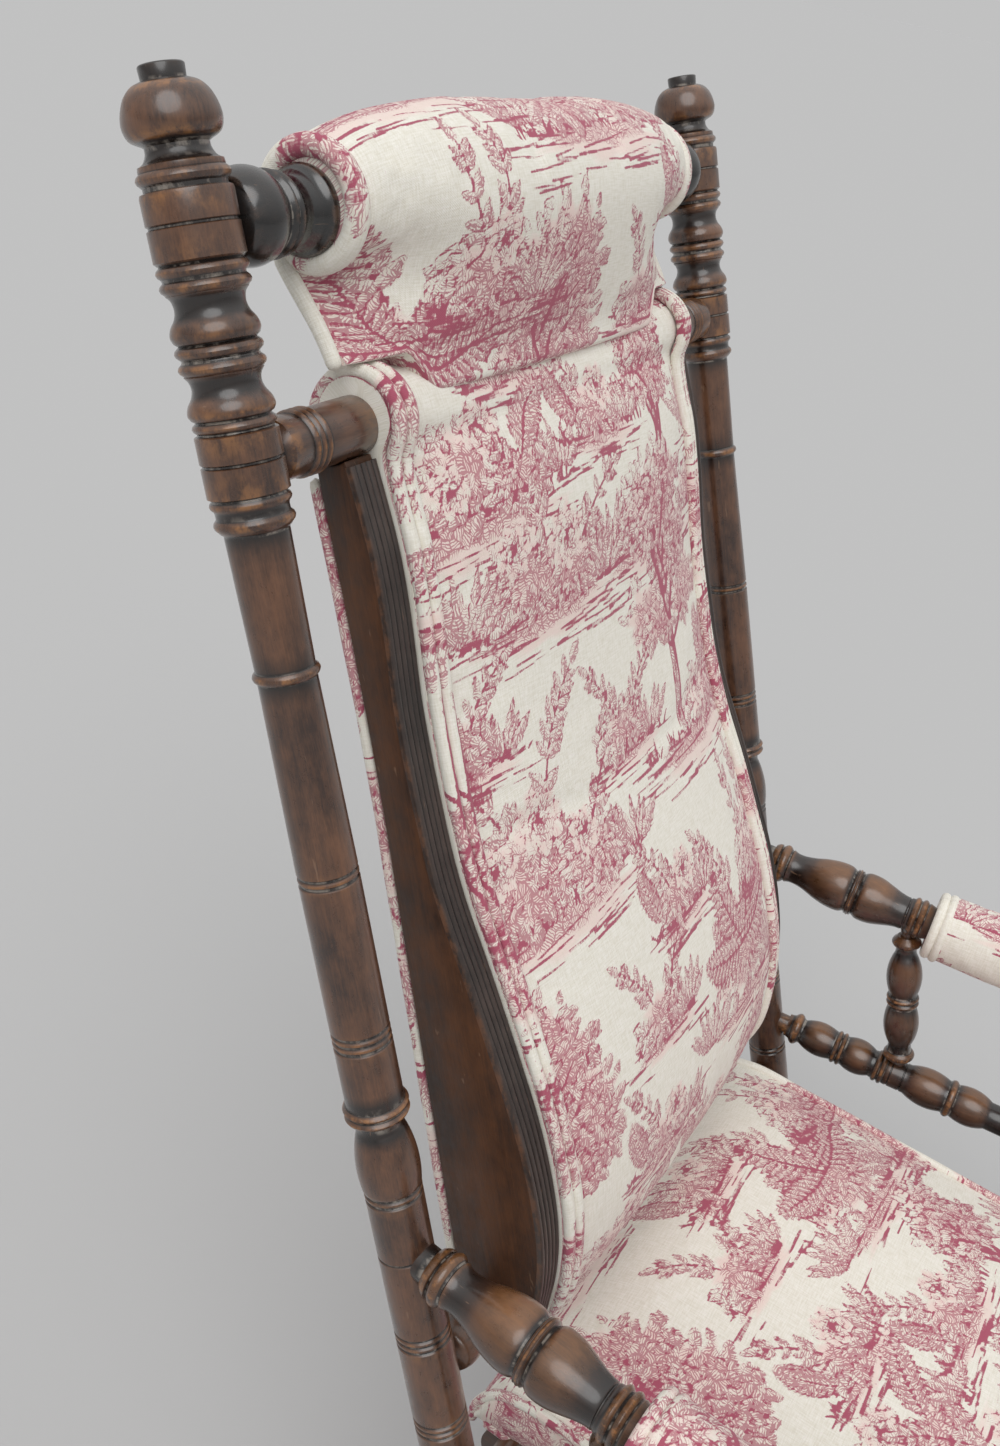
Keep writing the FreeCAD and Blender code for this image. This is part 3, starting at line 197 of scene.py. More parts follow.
def merged_copy(node, name):
    """A copy of a solid, with its doubled corners merged."""
    only(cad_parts[node])
    bpy.ops.object.duplicate()
    piece = bpy.context.active_object
    for key in list(piece.keys()):
        del piece[key]
    piece.parent = None
    piece.name = name
    piece.data.name = name
    edit(piece, lambda: bpy.ops.mesh.remove_doubles(threshold=WELD))
    return piece


# Turned work

def turned(marks):
    """The half outline through (along, radius, bulge) marks, with its curves cut into short steps."""
    line = [(float(marks[0][0]), float(marks[0][1]))]
    for mark in marks[1:]:
        start, end = line[-1], (float(mark[0]), float(mark[1]))
        bulge = mark[2] if len(mark) > 2 else 0.0
        run = math.dist(start, end)
        if bulge and run:
            steps = max(4, int(run / 1.5))
            out = ((start[1] - end[1]) / run, (end[0] - start[0]) / run)
            if out[1] < 0:
                out = (-out[0], -out[1])
            for step in range(1, steps):
                t = step / steps
                lift = 4 * bulge * t * (1 - t)
                line.append((start[0] + (end[0] - start[0]) * t + out[0] * lift,
                             start[1] + (end[1] - start[1]) * t + out[1] * lift))
        elif run > 24:
            steps = int(run / 12)
            line += [(start[0] + (end[0] - start[0]) * k / steps, start[1] + (end[1] - start[1]) * k / steps)
                     for k in range(1, steps)]
        line.append(end)
    return line


def mirrored(marks, middle):
    """The marks of one half of a piece, then the same marks back again to its far end."""
    bulges = [mark[2] if len(mark) > 2 else 0.0 for mark in marks[1:]] + [0.0]
    return marks + [(2 * middle - mark[0], mark[1], bulge)
                    for mark, bulge in reversed(list(zip(marks, bulges)))]


def bead(centre, width, base, bulge):
    """A half-round ring on a base radius."""
    return [(centre - width / 2, base), (centre + width / 2, base, bulge)]


def flow(*marks):
    """The part of a half outline that runs in one smooth sweep through its marks."""
    return [tuple(point) for point in smooth_line(marks, steps=6)[0]]


def scribed(line, cuts):
    """Fine V grooves (along, half width, depth) cut into a half outline that runs one way."""
    alongs = [point[0] for point in line]
    radii = [point[1] for point in line]
    result = list(line)
    for at, half, depth in cuts:
        base = float(np.interp(at, alongs, radii))
        result = [point for point in result if abs(point[0] - at) > half]
        result += [(at - half, base), (at - half * 0.35, base - depth), (at + half * 0.35, base - depth),
                   (at + half, base)]
    return sorted(result, key=lambda point: point[0]) if cuts else result


def relief_of(line):
    """Along a half outline: how sharply each place stands up as an edge, and how far it lies in a hollow."""
    along = np.array([point[0] for point in line])
    radius = np.array([point[1] for point in line])
    grid = np.arange(along.min(), along.max() + 1.0, 0.4)
    order = np.argsort(along, kind="stable")
    smooth = np.interp(grid, along[order], radius[order])

    def average(window):
        count = int(window / 0.4)
        padded = np.pad(smooth, count, mode="edge")
        total = np.cumsum(np.insert(padded, 0, 0.0))
        width = 2 * count + 1
        return (total[width:] - total[:-width]) / width

    return grid, np.clip((smooth - average(3.2)) / 0.8, -1, 1), np.clip((average(18.0) - smooth) / 3.0, -1, 1)


def mark_relief(piece, line, along):
    grid, edge, hollow = relief_of(line)
    number_on(piece, "edge", np.interp(along, grid, edge))
    number_on(piece, "hollow", np.interp(along, grid, hollow))


def lathe(name, line, faces=48):
    """A turned piece about its own Z axis: its half outline is drawn point by point, then spun."""
    bpy.ops.object.select_all(action="DESELECT")
    bpy.ops.mesh.primitive_plane_add(size=0.01)
    piece = bpy.context.active_object
    piece.name = name
    piece.data.name = name
    bpy.ops.object.mode_set(mode="EDIT")
    bpy.ops.mesh.select_all(action="SELECT")
    bpy.ops.mesh.merge(type="CENTER")
    bpy.ops.transform.translate(value=(line[0][1] * MM, 0, line[0][0] * MM))
    for first, last in zip(line, line[1:]):
        move = ((last[1] - first[1]) * MM, 0, (last[0] - first[0]) * MM)
        if abs(move[0]) + abs(move[2]) > 1e-6:
            bpy.ops.mesh.extrude_region_move(TRANSFORM_OT_translate={"value": move})
    bpy.ops.mesh.select_all(action="SELECT")
    bpy.ops.mesh.spin(steps=faces, angle=math.tau, center=(0, 0, 0), axis=(0, 0, 1))
    bpy.ops.mesh.select_all(action="SELECT")
    tidy_skin()
    bpy.ops.mesh.select_all(action="DESELECT")
    bpy.ops.mesh.select_non_manifold()
    bpy.ops.mesh.edge_face_add()
    bpy.ops.object.mode_set(mode="OBJECT")
    bpy.ops.object.shade_smooth_by_angle(angle=SMOOTH_TO)
    mark_relief(piece, line, points_of(piece)[:, 2] / MM)
    return piece


piece_count = 0


def stand(piece, start, way):
    """Lays a turned piece from start along way, and keeps its own grain coordinates."""
    global piece_count
    piece_count += 1
    places = points_of(piece)
    place_on(piece, "stock", places + np.array([0.31 * piece_count, 0.17 * piece_count, 0.53 * piece_count]))
    turn = Vector((0, 0, 1)).rotation_difference(way).to_matrix()
    move_points(piece, places @ np.array(turn).T + np.array(start))
    return piece


def twin(piece, name):
    """A second piece of the same form, with its own mesh."""
    only(piece)
    bpy.ops.object.duplicate()
    copy = bpy.context.active_object
    copy.name = name
    copy.data.name = name
    return copy


def turned_pair(name, line, start, way, body, material, faces=48):
    """The right and the left one of a turned piece."""
    right = lathe(name + "_turned_right", line, faces)
    left = twin(right, name + "_turned_left")
    for piece, side, at, along in ((right, "right", start, way),
                                   (left, "left", left_of(start), left_of(way))):
        keep_on(stand(piece, at, along), body, material, "stained_wood", "%s_%s" % (name, side))


def worn_copy(node, start, way, body, material, slot="stained_wood"):
    """A merged copy of a turned solid, with grain, wear and painted hollow shade found from its own outline.
    """
    global piece_count
    piece_count += 1
    piece = merged_copy(node, node + "_polished")
    bpy.ops.object.shade_smooth_by_angle(angle=SMOOTH_TO)
    turn = way.rotation_difference(Vector((0, 0, 1))).to_matrix()
    own = (points_of(piece) - np.array(start)) @ np.array(turn).T
    along = own[:, 2] / MM
    radius = np.hypot(own[:, 0], own[:, 1]) / MM
    bins = np.round(along).astype(int)
    low = bins.min()
    outline = np.full(bins.max() - low + 1, np.nan)
    for index in np.unique(bins - low):
        outline[index] = radius[bins - low == index].max()
    known = np.flatnonzero(~np.isnan(outline))
    line = [(float(low + k), float(outline[k])) for k in known]
    mark_relief(piece, line, along)
    place_on(piece, "stock", own + np.array([0.31 * piece_count, 0.17 * piece_count, 0.53 * piece_count]))
    return keep_on(piece, body, material, slot, node)


# Formed sheets, pads and piping

def formed(name, across, along, place, cloth=None, wrap=False):
    """A grid whose points are put in place by a formula of two shares, u across and v along."""
    bpy.ops.object.select_all(action="DESELECT")
    bpy.ops.mesh.primitive_grid_add(x_subdivisions=across, y_subdivisions=along, size=2, calc_uvs=True)
    piece = bpy.context.active_object
    piece.name = name
    piece.data.name = name
    shares = points_of(piece)
    u, v = (shares[:, 0] + 1) / 2, (shares[:, 1] + 1) / 2
    loops = np.empty(len(piece.data.loops), np.int32)
    piece.data.loops.foreach_get("vertex_index", loops)
    flat = np.stack(cloth(u, v) if cloth else (u, v), -1)[loops]
    layer = piece.data.uv_layers[0]
    layer.name = "cloth"
    layer.data.foreach_set("uv", np.asarray(flat * (MM if cloth else 1.0), np.float32).ravel())
    move_points(piece, place(u, v))
    if wrap:
        edit(piece, lambda: bpy.ops.mesh.remove_doubles(threshold=WELD))
    return piece


def close_ends(piece, bare=False):
    """Fills the open ends of a wrapped grid, with unprinted cloth if bare, and turns its faces outwards."""
    only(piece)
    bpy.ops.object.mode_set(mode="EDIT")
    bpy.ops.mesh.select_all(action="DESELECT")
    bpy.ops.mesh.select_mode(type="EDGE")
    bpy.ops.mesh.select_non_manifold()
    bpy.ops.mesh.fill_holes(sides=0)
    if bare:
        bpy.ops.mesh.inset(thickness=0.0006)
        bpy.ops.object.mode_set(mode="OBJECT")
        chosen = np.empty(len(piece.data.vertices), bool)
        piece.data.vertices.foreach_get("select", chosen)
        for name in ("ink", "tone", "wash"):
            values = np.empty(len(chosen), np.float32)
            piece.data.attributes[name].data.foreach_get("value", values)
            number_on(piece, name, np.where(chosen, 0.0, values))
        bpy.ops.object.mode_set(mode="EDIT")
    bpy.ops.mesh.select_all(action="SELECT")
    bpy.ops.mesh.normals_make_consistent(inside=False)
    bpy.ops.mesh.select_mode(type="VERT")
    bpy.ops.object.mode_set(mode="OBJECT")
    bpy.ops.object.shade_smooth_by_angle(angle=math.radians(60))


def smooth_line(anchors, closed=False, steps=24):
    """A close-set line that flows through anchors, with the distance run at each of its points."""
    anchors = np.array(anchors, float)
    count = len(anchors)
    if closed:
        ring = np.vstack([anchors[-1], anchors, anchors[0], anchors[1]])
        spans = count
    else:
        ring = np.vstack([2 * anchors[0] - anchors[1], anchors, 2 * anchors[-1] - anchors[-2]])
        spans = count - 1
    points = []
    for span in range(spans):
        a, b, c, d = ring[span:span + 4]
        gaps = [max(1e-6, np.linalg.norm(q - p)) ** 0.5 for p, q in ((a, b), (b, c), (c, d))]
        first = (b - a) / gaps[0] - (c - a) / (gaps[0] + gaps[1]) + (c - b) / gaps[1]
        last = (c - b) / gaps[1] - (d - b) / (gaps[1] + gaps[2]) + (d - c) / gaps[2]
        first, last = first * gaps[1], last * gaps[1]
        for t in np.linspace(0, 1, steps, endpoint=False):
            points.append((2 * t ** 3 - 3 * t ** 2 + 1) * b + (t ** 3 - 2 * t ** 2 + t) * first
                          + (3 * t ** 2 - 2 * t ** 3) * c + (t ** 3 - t ** 2) * last)
    points.append(points[0] if closed else anchors[-1])
    points = np.array(points)
    run = np.insert(np.cumsum(np.linalg.norm(np.diff(points, axis=0), axis=1)), 0, 0.0)
    return points, run


def along_line(line, distance):
    points, run = line
    return np.stack([np.interp(distance, run, points[:, k]) for k in range(points.shape[1])], -1)


def piping(name, path, radius, beside, around=14, spacing=2.2, closed=False):
    """A fabric-covered cord along a path in metres, with beside a direction that the path never takes."""
    line = smooth_line(path, closed)
    length = line[1][-1]
    steps = max(8, int(length / (spacing * MM)))

    def place(u, v):
        centre = along_line(line, v * length)
        ahead, back = v * length + 0.002, v * length - 0.002
        if closed:
            ahead, back = ahead % length, back % length
        way = along_line(line, np.clip(ahead, 0, length)) - along_line(line, np.clip(back, 0, length))
        way /= np.linalg.norm(way, axis=1)[:, None]
        out = np.cross(way, np.array(beside, float))
        out /= np.linalg.norm(out, axis=1)[:, None]
        side = np.cross(way, out)
        angle = u * math.tau
        size = radius * MM * (1 + 0.03 * np.sin(v * length / 0.011))
        if not closed:
            ends = np.clip(np.minimum(v, 1 - v) * length / (radius * MM), 0, 1)
            size = size * np.sqrt(1 - (1 - ends) ** 2)
        return centre + (out * np.cos(angle)[:, None] + side * np.sin(angle)[:, None]) * size[:, None]

    start = 37.0 * len(name)
    girth = math.tau * radius
    piece = formed(name, around, steps, place,
                   lambda u, v: (start + u * girth, start * 1.7 + v * length / MM), wrap=True)
    edit(piece, tidy_skin)
    bpy.ops.object.shade_smooth()
    return piece


def joined(pieces, name):
    bpy.ops.object.select_all(action="DESELECT")
    for piece in pieces:
        piece.select_set(True)
    bpy.context.view_layer.objects.active = pieces[0]
    bpy.ops.object.join()
    pieces[0].name = name
    return pieces[0]


def plump(piece, loose, cap, pressure=3.0):
    """Swells a pad as stretched cloth: loose is each point's freedom, 0 where it is tacked down."""
    rest = points_of(piece)
    group = piece.vertex_groups.new(name="tacked")
    for index, share in enumerate(loose):
        if share < 0.999:
            group.add([index], float(1 - share), "REPLACE")
    only(piece)
    cloth = piece.modifiers.new("Cloth", "CLOTH")
    cloth.settings.quality = 5
    cloth.settings.vertex_group_mass = "tacked"
    cloth.settings.pin_stiffness = 2.0
    cloth.settings.tension_stiffness = 18
    cloth.settings.compression_stiffness = 14
    cloth.settings.bending_stiffness = 0.6
    cloth.settings.shrink_min = -0.006
    cloth.settings.use_pressure = True
    cloth.settings.uniform_pressure_force = pressure
    cloth.settings.effector_weights.gravity = 0
    cloth.collision_settings.use_collision = False
    cloth.point_cache.frame_start = 1
    cloth.point_cache.frame_end = 16
    for number in range(1, 17):
        bpy.context.scene.frame_set(number)
    bpy.ops.object.modifier_apply(modifier=cloth.name)
    bpy.context.scene.frame_set(1)
    shift = points_of(piece) - rest
    length = np.linalg.norm(shift, axis=1)
    limit = cap * MM * np.tanh(length / (cap * MM)) / np.maximum(length, 1e-9)
    move_points(piece, rest + shift * limit[:, None])
    piece.vertex_groups.clear()


# The printed linen: one repeat of a leafy engraved pattern, drawn with pen strokes.
# Three layers: ink holds the drawn lines, tone the hatched shading, wash the paler second colour.

PRINT_WIDE, PRINT_HIGH = 384, 520
PRINT_STEP = 0.8
LINE_EDGE = 1.5
print_shape = (int(PRINT_HIGH / PRINT_STEP), int(PRINT_WIDE / PRINT_STEP))
print_ink, print_tone, print_wash = (np.zeros(print_shape, np.float32) for _ in range(3))
pen = random.Random(11)


def window(low_x, high_x, low_y, high_y):
    """The part of the repeat under a box, wrapped round its edges, with the millimetres at its cells."""
    columns = np.arange(math.floor(low_x / PRINT_STEP), math.ceil(high_x / PRINT_STEP) + 1)
    rows = np.arange(math.floor(low_y / PRINT_STEP), math.ceil(high_y / PRINT_STEP) + 1)
    cells = np.ix_(rows % print_shape[0], columns % print_shape[1])
    return cells, columns[None, :] * PRINT_STEP, rows[:, None] * PRINT_STEP


def as_line(depth):
    """How strongly ink shows at a depth inside a line's edge: half at the edge itself."""
    return np.clip(0.5 + depth / (2 * LINE_EDGE), 0, 1)


def stroke(points, width):
    """A pen stroke that swells in its middle and thins towards its ends."""
    last = len(points) - 1
    for index in range(last):
        (ax, ay), (bx, by) = points[index], points[index + 1]
        middle = (index + 0.5) / last
        half = width * (0.5 + 0.5 * math.sin(math.pi * min(0.9, 0.25 + middle * 0.75))) / 2
        reach = half + LINE_EDGE
        cells, x, y = window(min(ax, bx) - reach, max(ax, bx) + reach, min(ay, by) - reach,
                             max(ay, by) + reach)
        dx, dy = bx - ax, by - ay
        t = np.clip(((x - ax) * dx + (y - ay) * dy) / max(1e-6, dx * dx + dy * dy), 0, 1)
        far = np.hypot(x - ax - t * dx, y - ay - t * dy)
        print_ink[cells] = np.maximum(print_ink[cells], as_line(half - far))


def bowed(x, y, angle, length, bend, steps=5):
    """Points of a stroke that leaves x, y at an angle and turns by bend on its way."""
    points = [(x, y)]
    for _ in range(steps):
        angle += bend / steps
        x += math.cos(angle) * length / steps
        y += math.sin(angle) * length / steps
        points.append((x, y))
    return points


def washed(x, y, wide, high, amount, layer=None):
    """A soft pale tint with a broken edge."""
    layer = print_wash if layer is None else layer
    cells, gx, gy = window(x - wide * 1.3, x + wide * 1.3, y - high * 1.3, y + high * 1.3)
    turn = np.arctan2((gy - y) / high, (gx - x) / wide)
    ragged = 1 + 0.12 * np.sin(turn * 7 + x) + 0.08 * np.sin(turn * 13 + y)
    far = np.hypot((gx - x) / wide, (gy - y) / high) / ragged
    layer[cells] = np.maximum(layer[cells], np.clip((1 - far) * 3, 0, 1) * amount)


def leaf(x, y, angle, length, width, shade=0.6, ribbed=True):
    """A pointed leaf: it covers what is under it, then has an outline, a rib and one shaded side."""
    cells, gx, gy = window(x - length - 2, x + length + 2, y - length - 2, y + length + 2)
    along = (gx - x) * math.cos(angle) + (gy - y) * math.sin(angle)
    aside = -(gx - x) * math.sin(angle) + (gy - y) * math.cos(angle)
    t = np.clip(along / length, 0, 1)
    lobes = 1 + 0.16 * np.sin(t * math.pi * (length / 4.5))
    half = width / 2 * np.sin(np.pi * t ** 0.75) * lobes
    depth = np.where((along > 0) & (along < length), half - np.abs(aside), -9.0)
    inside = depth > 0
    edge = as_line(0.5 - np.abs(depth))
    rib = as_line(0.35 - np.abs(aside)) * (t < 0.8) * ribbed * inside
    print_ink[cells] = np.where(inside, np.maximum(edge, rib), np.maximum(print_ink[cells], edge))
    side = np.where(aside * math.cos(angle) < 0, shade, shade * 0.3)
    print_tone[cells] = np.where(inside, side, print_tone[cells])
    print_wash[cells] = np.where(inside, np.maximum(print_wash[cells] * 0.8, 0.35 * shade), print_wash[cells])


def sprig(x, y, angle, length, bend, pairs, size, shade=0.6):
    """A curved stem with leaves down both sides and one at its tip."""
    stem = bowed(x, y, angle, length, bend, 8)
    stroke(stem, 1.8)
    for pair in range(pairs):
        share = (pair + 0.8) / pairs
        px, py = stem[min(8, int(share * 8))]
        heading = angle + bend * share
        for side in (-1, 1):
            turn = heading + side * pen.uniform(0.6, 1.0)
            long = size * pen.uniform(0.8, 1.15) * (1.15 - 0.4 * share)
            leaf(px, py, turn, long, long * 0.46, shade)
    leaf(*stem[-1], angle + bend, size, size * 0.45, shade)


def clump(x, y, wide, high, leaves, size, shade=0.6):
    """A rounded mass of leaves that point outwards, darker low down on its right."""
    washed(x, y, wide, high, 0.5)
    washed(x + wide * 0.12, y - high * 0.15, wide * 0.85, high * 0.8, 0.55 * shade + 0.25, print_tone)
    for _ in range(leaves):
        turn, far = pen.uniform(0, math.tau), math.sqrt(pen.random())
        px, py = x + math.cos(turn) * far * wide, y + math.sin(turn) * far * high
        heading = math.atan2(py - y, px - x) + pen.uniform(-0.9, 0.9)
        low = (math.cos(turn) - math.sin(turn)) * far * 0.3
        long = size * pen.uniform(0.7, 1.2)
        leaf(px, py, heading, long, long * pen.uniform(0.5, 0.7), min(0.95, max(0.15, shade + low)),
             pen.random() < 0.4)


def trunk(points, wide):
    """Two bark edges with hatching and short strokes between them."""
    for index, ((ax, ay), (bx, by)) in enumerate(zip(points, points[1:])):
        girth = wide * (1 - 0.07 * index)
        run = max(1e-6, math.hypot(bx - ax, by - ay))
        nx, ny = -(by - ay) / run, (bx - ax) / run
        stroke([(ax + nx * girth, ay + ny * girth), (bx + nx * girth, by + ny * girth)], 1.7)
        stroke([(ax - nx * girth, ay - ny * girth), (bx - nx * girth, by - ny * girth)], 2.6)
        washed((ax + bx) / 2, (ay + by) / 2, girth + 1, run * 0.7, 0.7, print_tone)
        for _ in range(int(run / 3.0)):
            t, off = pen.random(), pen.uniform(-0.9, 0.5) * girth
            px, py = ax + (bx - ax) * t - nx * off, ay + (by - ay) * t - ny * off
            stroke(bowed(px, py, math.atan2(by - ay, bx - ax) + pen.uniform(-0.15, 0.15), 8, 0.1, 2), 1.3)


def tree(x, y, height, lean, boughs, size, shade=0.6):
    """A tree from its foot: a bending trunk, forked boughs and a clump of leaves on each."""
    points = bowed(x, y, math.pi / 2 - lean, height * 0.66, lean * 1.6, 7)
    trunk(points, height * 0.02 + 1.0)
    for number in range(boughs):
        share = 0.38 + 0.62 * (number + 0.5) / boughs
        px, py = points[min(7, int(share * 7 + 0.5))]
        side = -1 if number % 2 else 1
        heading = math.pi / 2 - side * pen.uniform(0.4, 1.15) * (1.3 - share * 0.75)
        long = height * pen.uniform(0.22, 0.36) * (1.2 - share * 0.4)
        bough = bowed(px, py, heading, long, side * 0.35, 6)
        stroke(bough, 3.0)
        for _ in range(2):
            qx, qy = bough[pen.randint(2, 5)]
            stroke(bowed(qx, qy, heading + pen.uniform(-0.9, 0.9), long * 0.4, 0.3, 3), 1.6)
        cx, cy = bough[-1]
        clump(cx, cy, height * pen.uniform(0.13, 0.17), height * pen.uniform(0.09, 0.13), 36, size, shade)
        clump(cx - side * height * 0.08, cy - height * 0.05, height * 0.1, height * 0.065, 18, size, shade)


def tuft(x, y, height, blades, width=2.0):
    """Long grass blades that fan from one root."""
    for _ in range(blades):
        turn = pen.uniform(-0.8, 0.8)
        stroke(bowed(x + pen.uniform(-5, 5), y, math.pi / 2 - turn, height * pen.uniform(0.6, 1.1),
                     -turn * 0.9, 5),
               width * pen.uniform(0.7, 1.1))


def swords(x, y, height, count, shade=0.7):
    """Broad pointed leaves that rise and arch from one root."""
    for number in range(count):
        turn = -1.15 + 2.3 * (number + 0.5) / count + pen.uniform(-0.12, 0.12)
        long = height * pen.uniform(0.75, 1.1)
        leaf(x + turn * 6, y, math.pi / 2 - turn, long, long * 0.17 + 2.5, shade)


def bloom(x, y, size, petals):
    """An open flower: rings of petals with lines from the heart."""
    washed(x, y, size * 0.95, size * 0.95, 0.7)
    for ring, reach, count in ((0, 1.0, petals), (1, 0.72, petals), (2, 0.45, petals - 2)):
        for number in range(count):
            turn = (number + ring * 0.5) * math.tau / count + pen.uniform(-0.12, 0.12)
            leaf(x, y, turn, size * reach, size * reach * 0.85, 0.12 + 0.16 * ring, False)
    for _ in range(16):
        stroke(bowed(x, y, pen.uniform(0, math.tau), size * pen.uniform(0.12, 0.3), 0.2, 2), 1.3)


def bank(x, y, wide, lines, slope=0.0):
    """Broken level strokes that fade out to the sides, as the ground under a plant."""
    washed(x, y - lines * 1.2, wide * 0.42, lines * 2.0, 0.45)
    washed(x - wide * 0.08, y - lines * 0.6, wide * 0.34, lines * 1.3, 0.45, print_tone)
    for number in range(lines * 4):
        level = y - (number / 4) * 4.2 + pen.uniform(-1, 1)
        far = pen.uniform(-0.5, 0.5) * wide
        long = pen.uniform(0.12, 0.36) * wide * (1.1 - abs(far) / wide)
        stroke(bowed(x + far - long / 2, level + far * slope,
                     slope + pen.uniform(-0.08, 0.08), long, 0.05, 3),
               pen.uniform(1.0, 1.7))
    for number in range(int(wide / 9)):
        px = x + pen.uniform(-0.46, 0.46) * wide
        tuft(px, y + (px - x) * slope - 2, pen.uniform(7, 15), 3, 1.7)


def fern(x, y, angle, length, bend):
    """A frond with narrow leaflets that shorten to its tip."""
    stem = bowed(x, y, angle, length, bend, 12)
    stroke(stem, 1.8)
    for index in range(1, 12):
        share = index / 12
        for side in (-1, 1):
            turn = angle + bend * share + side * 0.95
            leaf(*stem[index], turn,
                 length * 0.3 * math.sin(math.pi * (0.25 + 0.7 * share)), 5.0, 0.85, False)


def draw_print():
    """The motifs of one repeat, far ones first, each on its own patch of ground."""
    bank(120, 66, 230, 9, 0.05)
    tree(70, 72, 236, 0.16, 9, 13, 0.62)
    clump(128, 92, 40, 26, 70, 14, 0.7)
    clump(172, 80, 30, 17, 40, 12, 0.55)
    swords(34, 66, 46, 9)
    swords(214, 74, 34, 7)
    bloom(150, 112, 20, 7)
    bloom(112, 84, 17, 7)
    fern(178, 90, 1.0, 60, -0.5)
    bank(340, 176, 180, 7, -0.05)
    clump(336, 206, 46, 28, 80, 14, 0.66)
    bloom(318, 236, 27, 8)
    bloom(362, 222, 21, 7)
    bloom(290, 208, 18, 7)
    for turn in (2.75, 2.2, 0.4, 0.75, 0.05, 3.2):
        fern(334, 216, turn, pen.uniform(58, 80), -0.5 if turn > 1.5 else 0.5)
    sprig(330, 256, 1.8, 66, 0.5, 6, 18)
    sprig(352, 246, 1.05, 62, -0.6, 5, 17)
    swords(398, 176, 44, 9)
    swords(262, 172, 36, 8)
    bank(330, 8, 210, 8, 0.04)
    tree(352, 14, 152, -0.2, 7, 11, 0.5)
    clump(300, 26, 34, 18, 46, 12, 0.7)
    clump(404, 24, 30, 16, 36, 11, 0.6)
    swords(262, 10, 40, 8)
    swords(432, 12, 34, 7)
    bank(140, 342, 210, 8, 0.06)
    clump(112, 374, 56, 34, 110, 15, 0.68)
    clump(180, 362, 36, 22, 50, 13, 0.55)
    bloom(140, 402, 24, 8)
    bloom(98, 386, 19, 7)
    bloom(176, 378, 17, 7)
    sprig(112, 402, 2.0, 82, 0.5, 7, 19)
    sprig(150, 416, 1.3, 80, -0.6, 7, 18)
    sprig(188, 382, 0.7, 66, 0.5, 5, 16)
    fern(70, 372, 2.5, 62, -0.5)
    swords(58, 342, 46, 9)
    swords(226, 346, 38, 8)
    bank(352, 380, 190, 8, -0.04)
    tree(330, 388, 204, 0.15, 9, 12, 0.62)
    clump(384, 398, 40, 22, 56, 13, 0.7)
    swords(418, 380, 42, 9)
    fern(402, 402, 2.0, 58, -0.5)
    fern(392, 404, 0.85, 60, 0.5)
    bloom(372, 404, 19, 7)
    bank(186, 520, 190, 7, 0.03)
    clump(166, 544, 44, 24, 70, 13, 0.6)
    clump(214, 536, 28, 16, 34, 12, 0.7)
    bloom(206, 556, 22, 8)
    bloom(152, 560, 18, 7)
    sprig(184, 562, 1.75, 66, 0.5, 6, 16)
    sprig(224, 552, 0.8, 60, -0.4, 5, 15)
    swords(110, 520, 40, 8)
    swords(250, 522, 34, 7)
    bank(14, 250, 150, 6, 0.05)
    clump(6, 268, 36, 20, 50, 13, 0.6)
    sprig(12, 276, 1.2, 68, 0.6, 6, 17)
    sprig(4, 280, 2.2, 60, -0.6, 5, 16)
    swords(58, 250, 36, 8)
    bloom(16, 284, 19, 7)


def fill_bare_cloth(times):
    """Puts a small plant on its own ground in the barest part of the repeat, again and again."""
    rows, columns = print_shape
    down, over = np.fft.fftfreq(rows)[:, None], np.fft.fftfreq(columns)[None, :]
    blur = np.exp(-2 * (math.pi * 34 / PRINT_STEP) ** 2 * (down ** 2 + over ** 2))
    for turn in range(times):
        cover = np.fft.ifft2(np.fft.fft2(np.maximum(print_ink, print_wash)) * blur).real
        row, column = np.unravel_index(np.argmin(cover), cover.shape)
        x, y = column * PRINT_STEP, row * PRINT_STEP - 24
        bank(x, y, 110, 5, pen.uniform(-0.06, 0.06))
        clump(x - 8, y + 16, 26, 15, 40, 13, 0.66)
        swords(x + 30, y, 34, 7)
        sprig(x - 14, y + 24, 1.9, 46, 0.5, 5, 14)
        if turn % 2:
            bloom(x + 10, y + 26, 17, 7)
            fern(x - 30, y + 8, 2.2, 44, -0.5)
        else:
            sprig(x + 10, y + 24, 1.1, 42, -0.6, 4, 15)


draw_print()
fill_bare_cloth(6)


def print_on(piece, shift_u=0.0, shift_v=0.0):
    """Gives each point of a piece the layers that its place on the cloth has."""
    mesh = piece.data
    loops = np.empty(len(mesh.loops), np.int32)
    mesh.loops.foreach_get("vertex_index", loops)
    flat = np.empty(len(mesh.loops) * 2, np.float32)
    mesh.uv_layers["cloth"].data.foreach_get("uv", flat)
    cloth = np.zeros((len(mesh.vertices), 2))
    cloth[loops] = flat.reshape(-1, 2)
    column = (cloth[:, 0] / MM + shift_u) / PRINT_STEP
    row = (cloth[:, 1] / MM + shift_v) / PRINT_STEP
    left, low = np.floor(column).astype(int), np.floor(row).astype(int)
    s, t = column - left, row - low
    high, wide = print_shape
    for name, layer in (("ink", print_ink), ("tone", print_tone), ("wash", print_wash)):
        corners = [layer[(low + b) % high, (left + a) % wide] for a, b in ((0, 0), (1, 0), (0, 1), (1, 1))]
        below = corners[0] * (1 - s) + corners[1] * s
        above = corners[2] * (1 - s) + corners[3] * s
        number_on(piece, name, below * (1 - t) + above * t)


# Materials

def linear(code):
    """A colour written as sRGB hex, as the linear numbers that a shader takes."""
    parts = [int(code[k:k + 2], 16) / 255 for k in (1, 3, 5)]
    return tuple(p / 12.92 if p <= 0.04045 else ((p + 0.055) / 1.055) ** 2.4 for p in parts) + (1.0,)


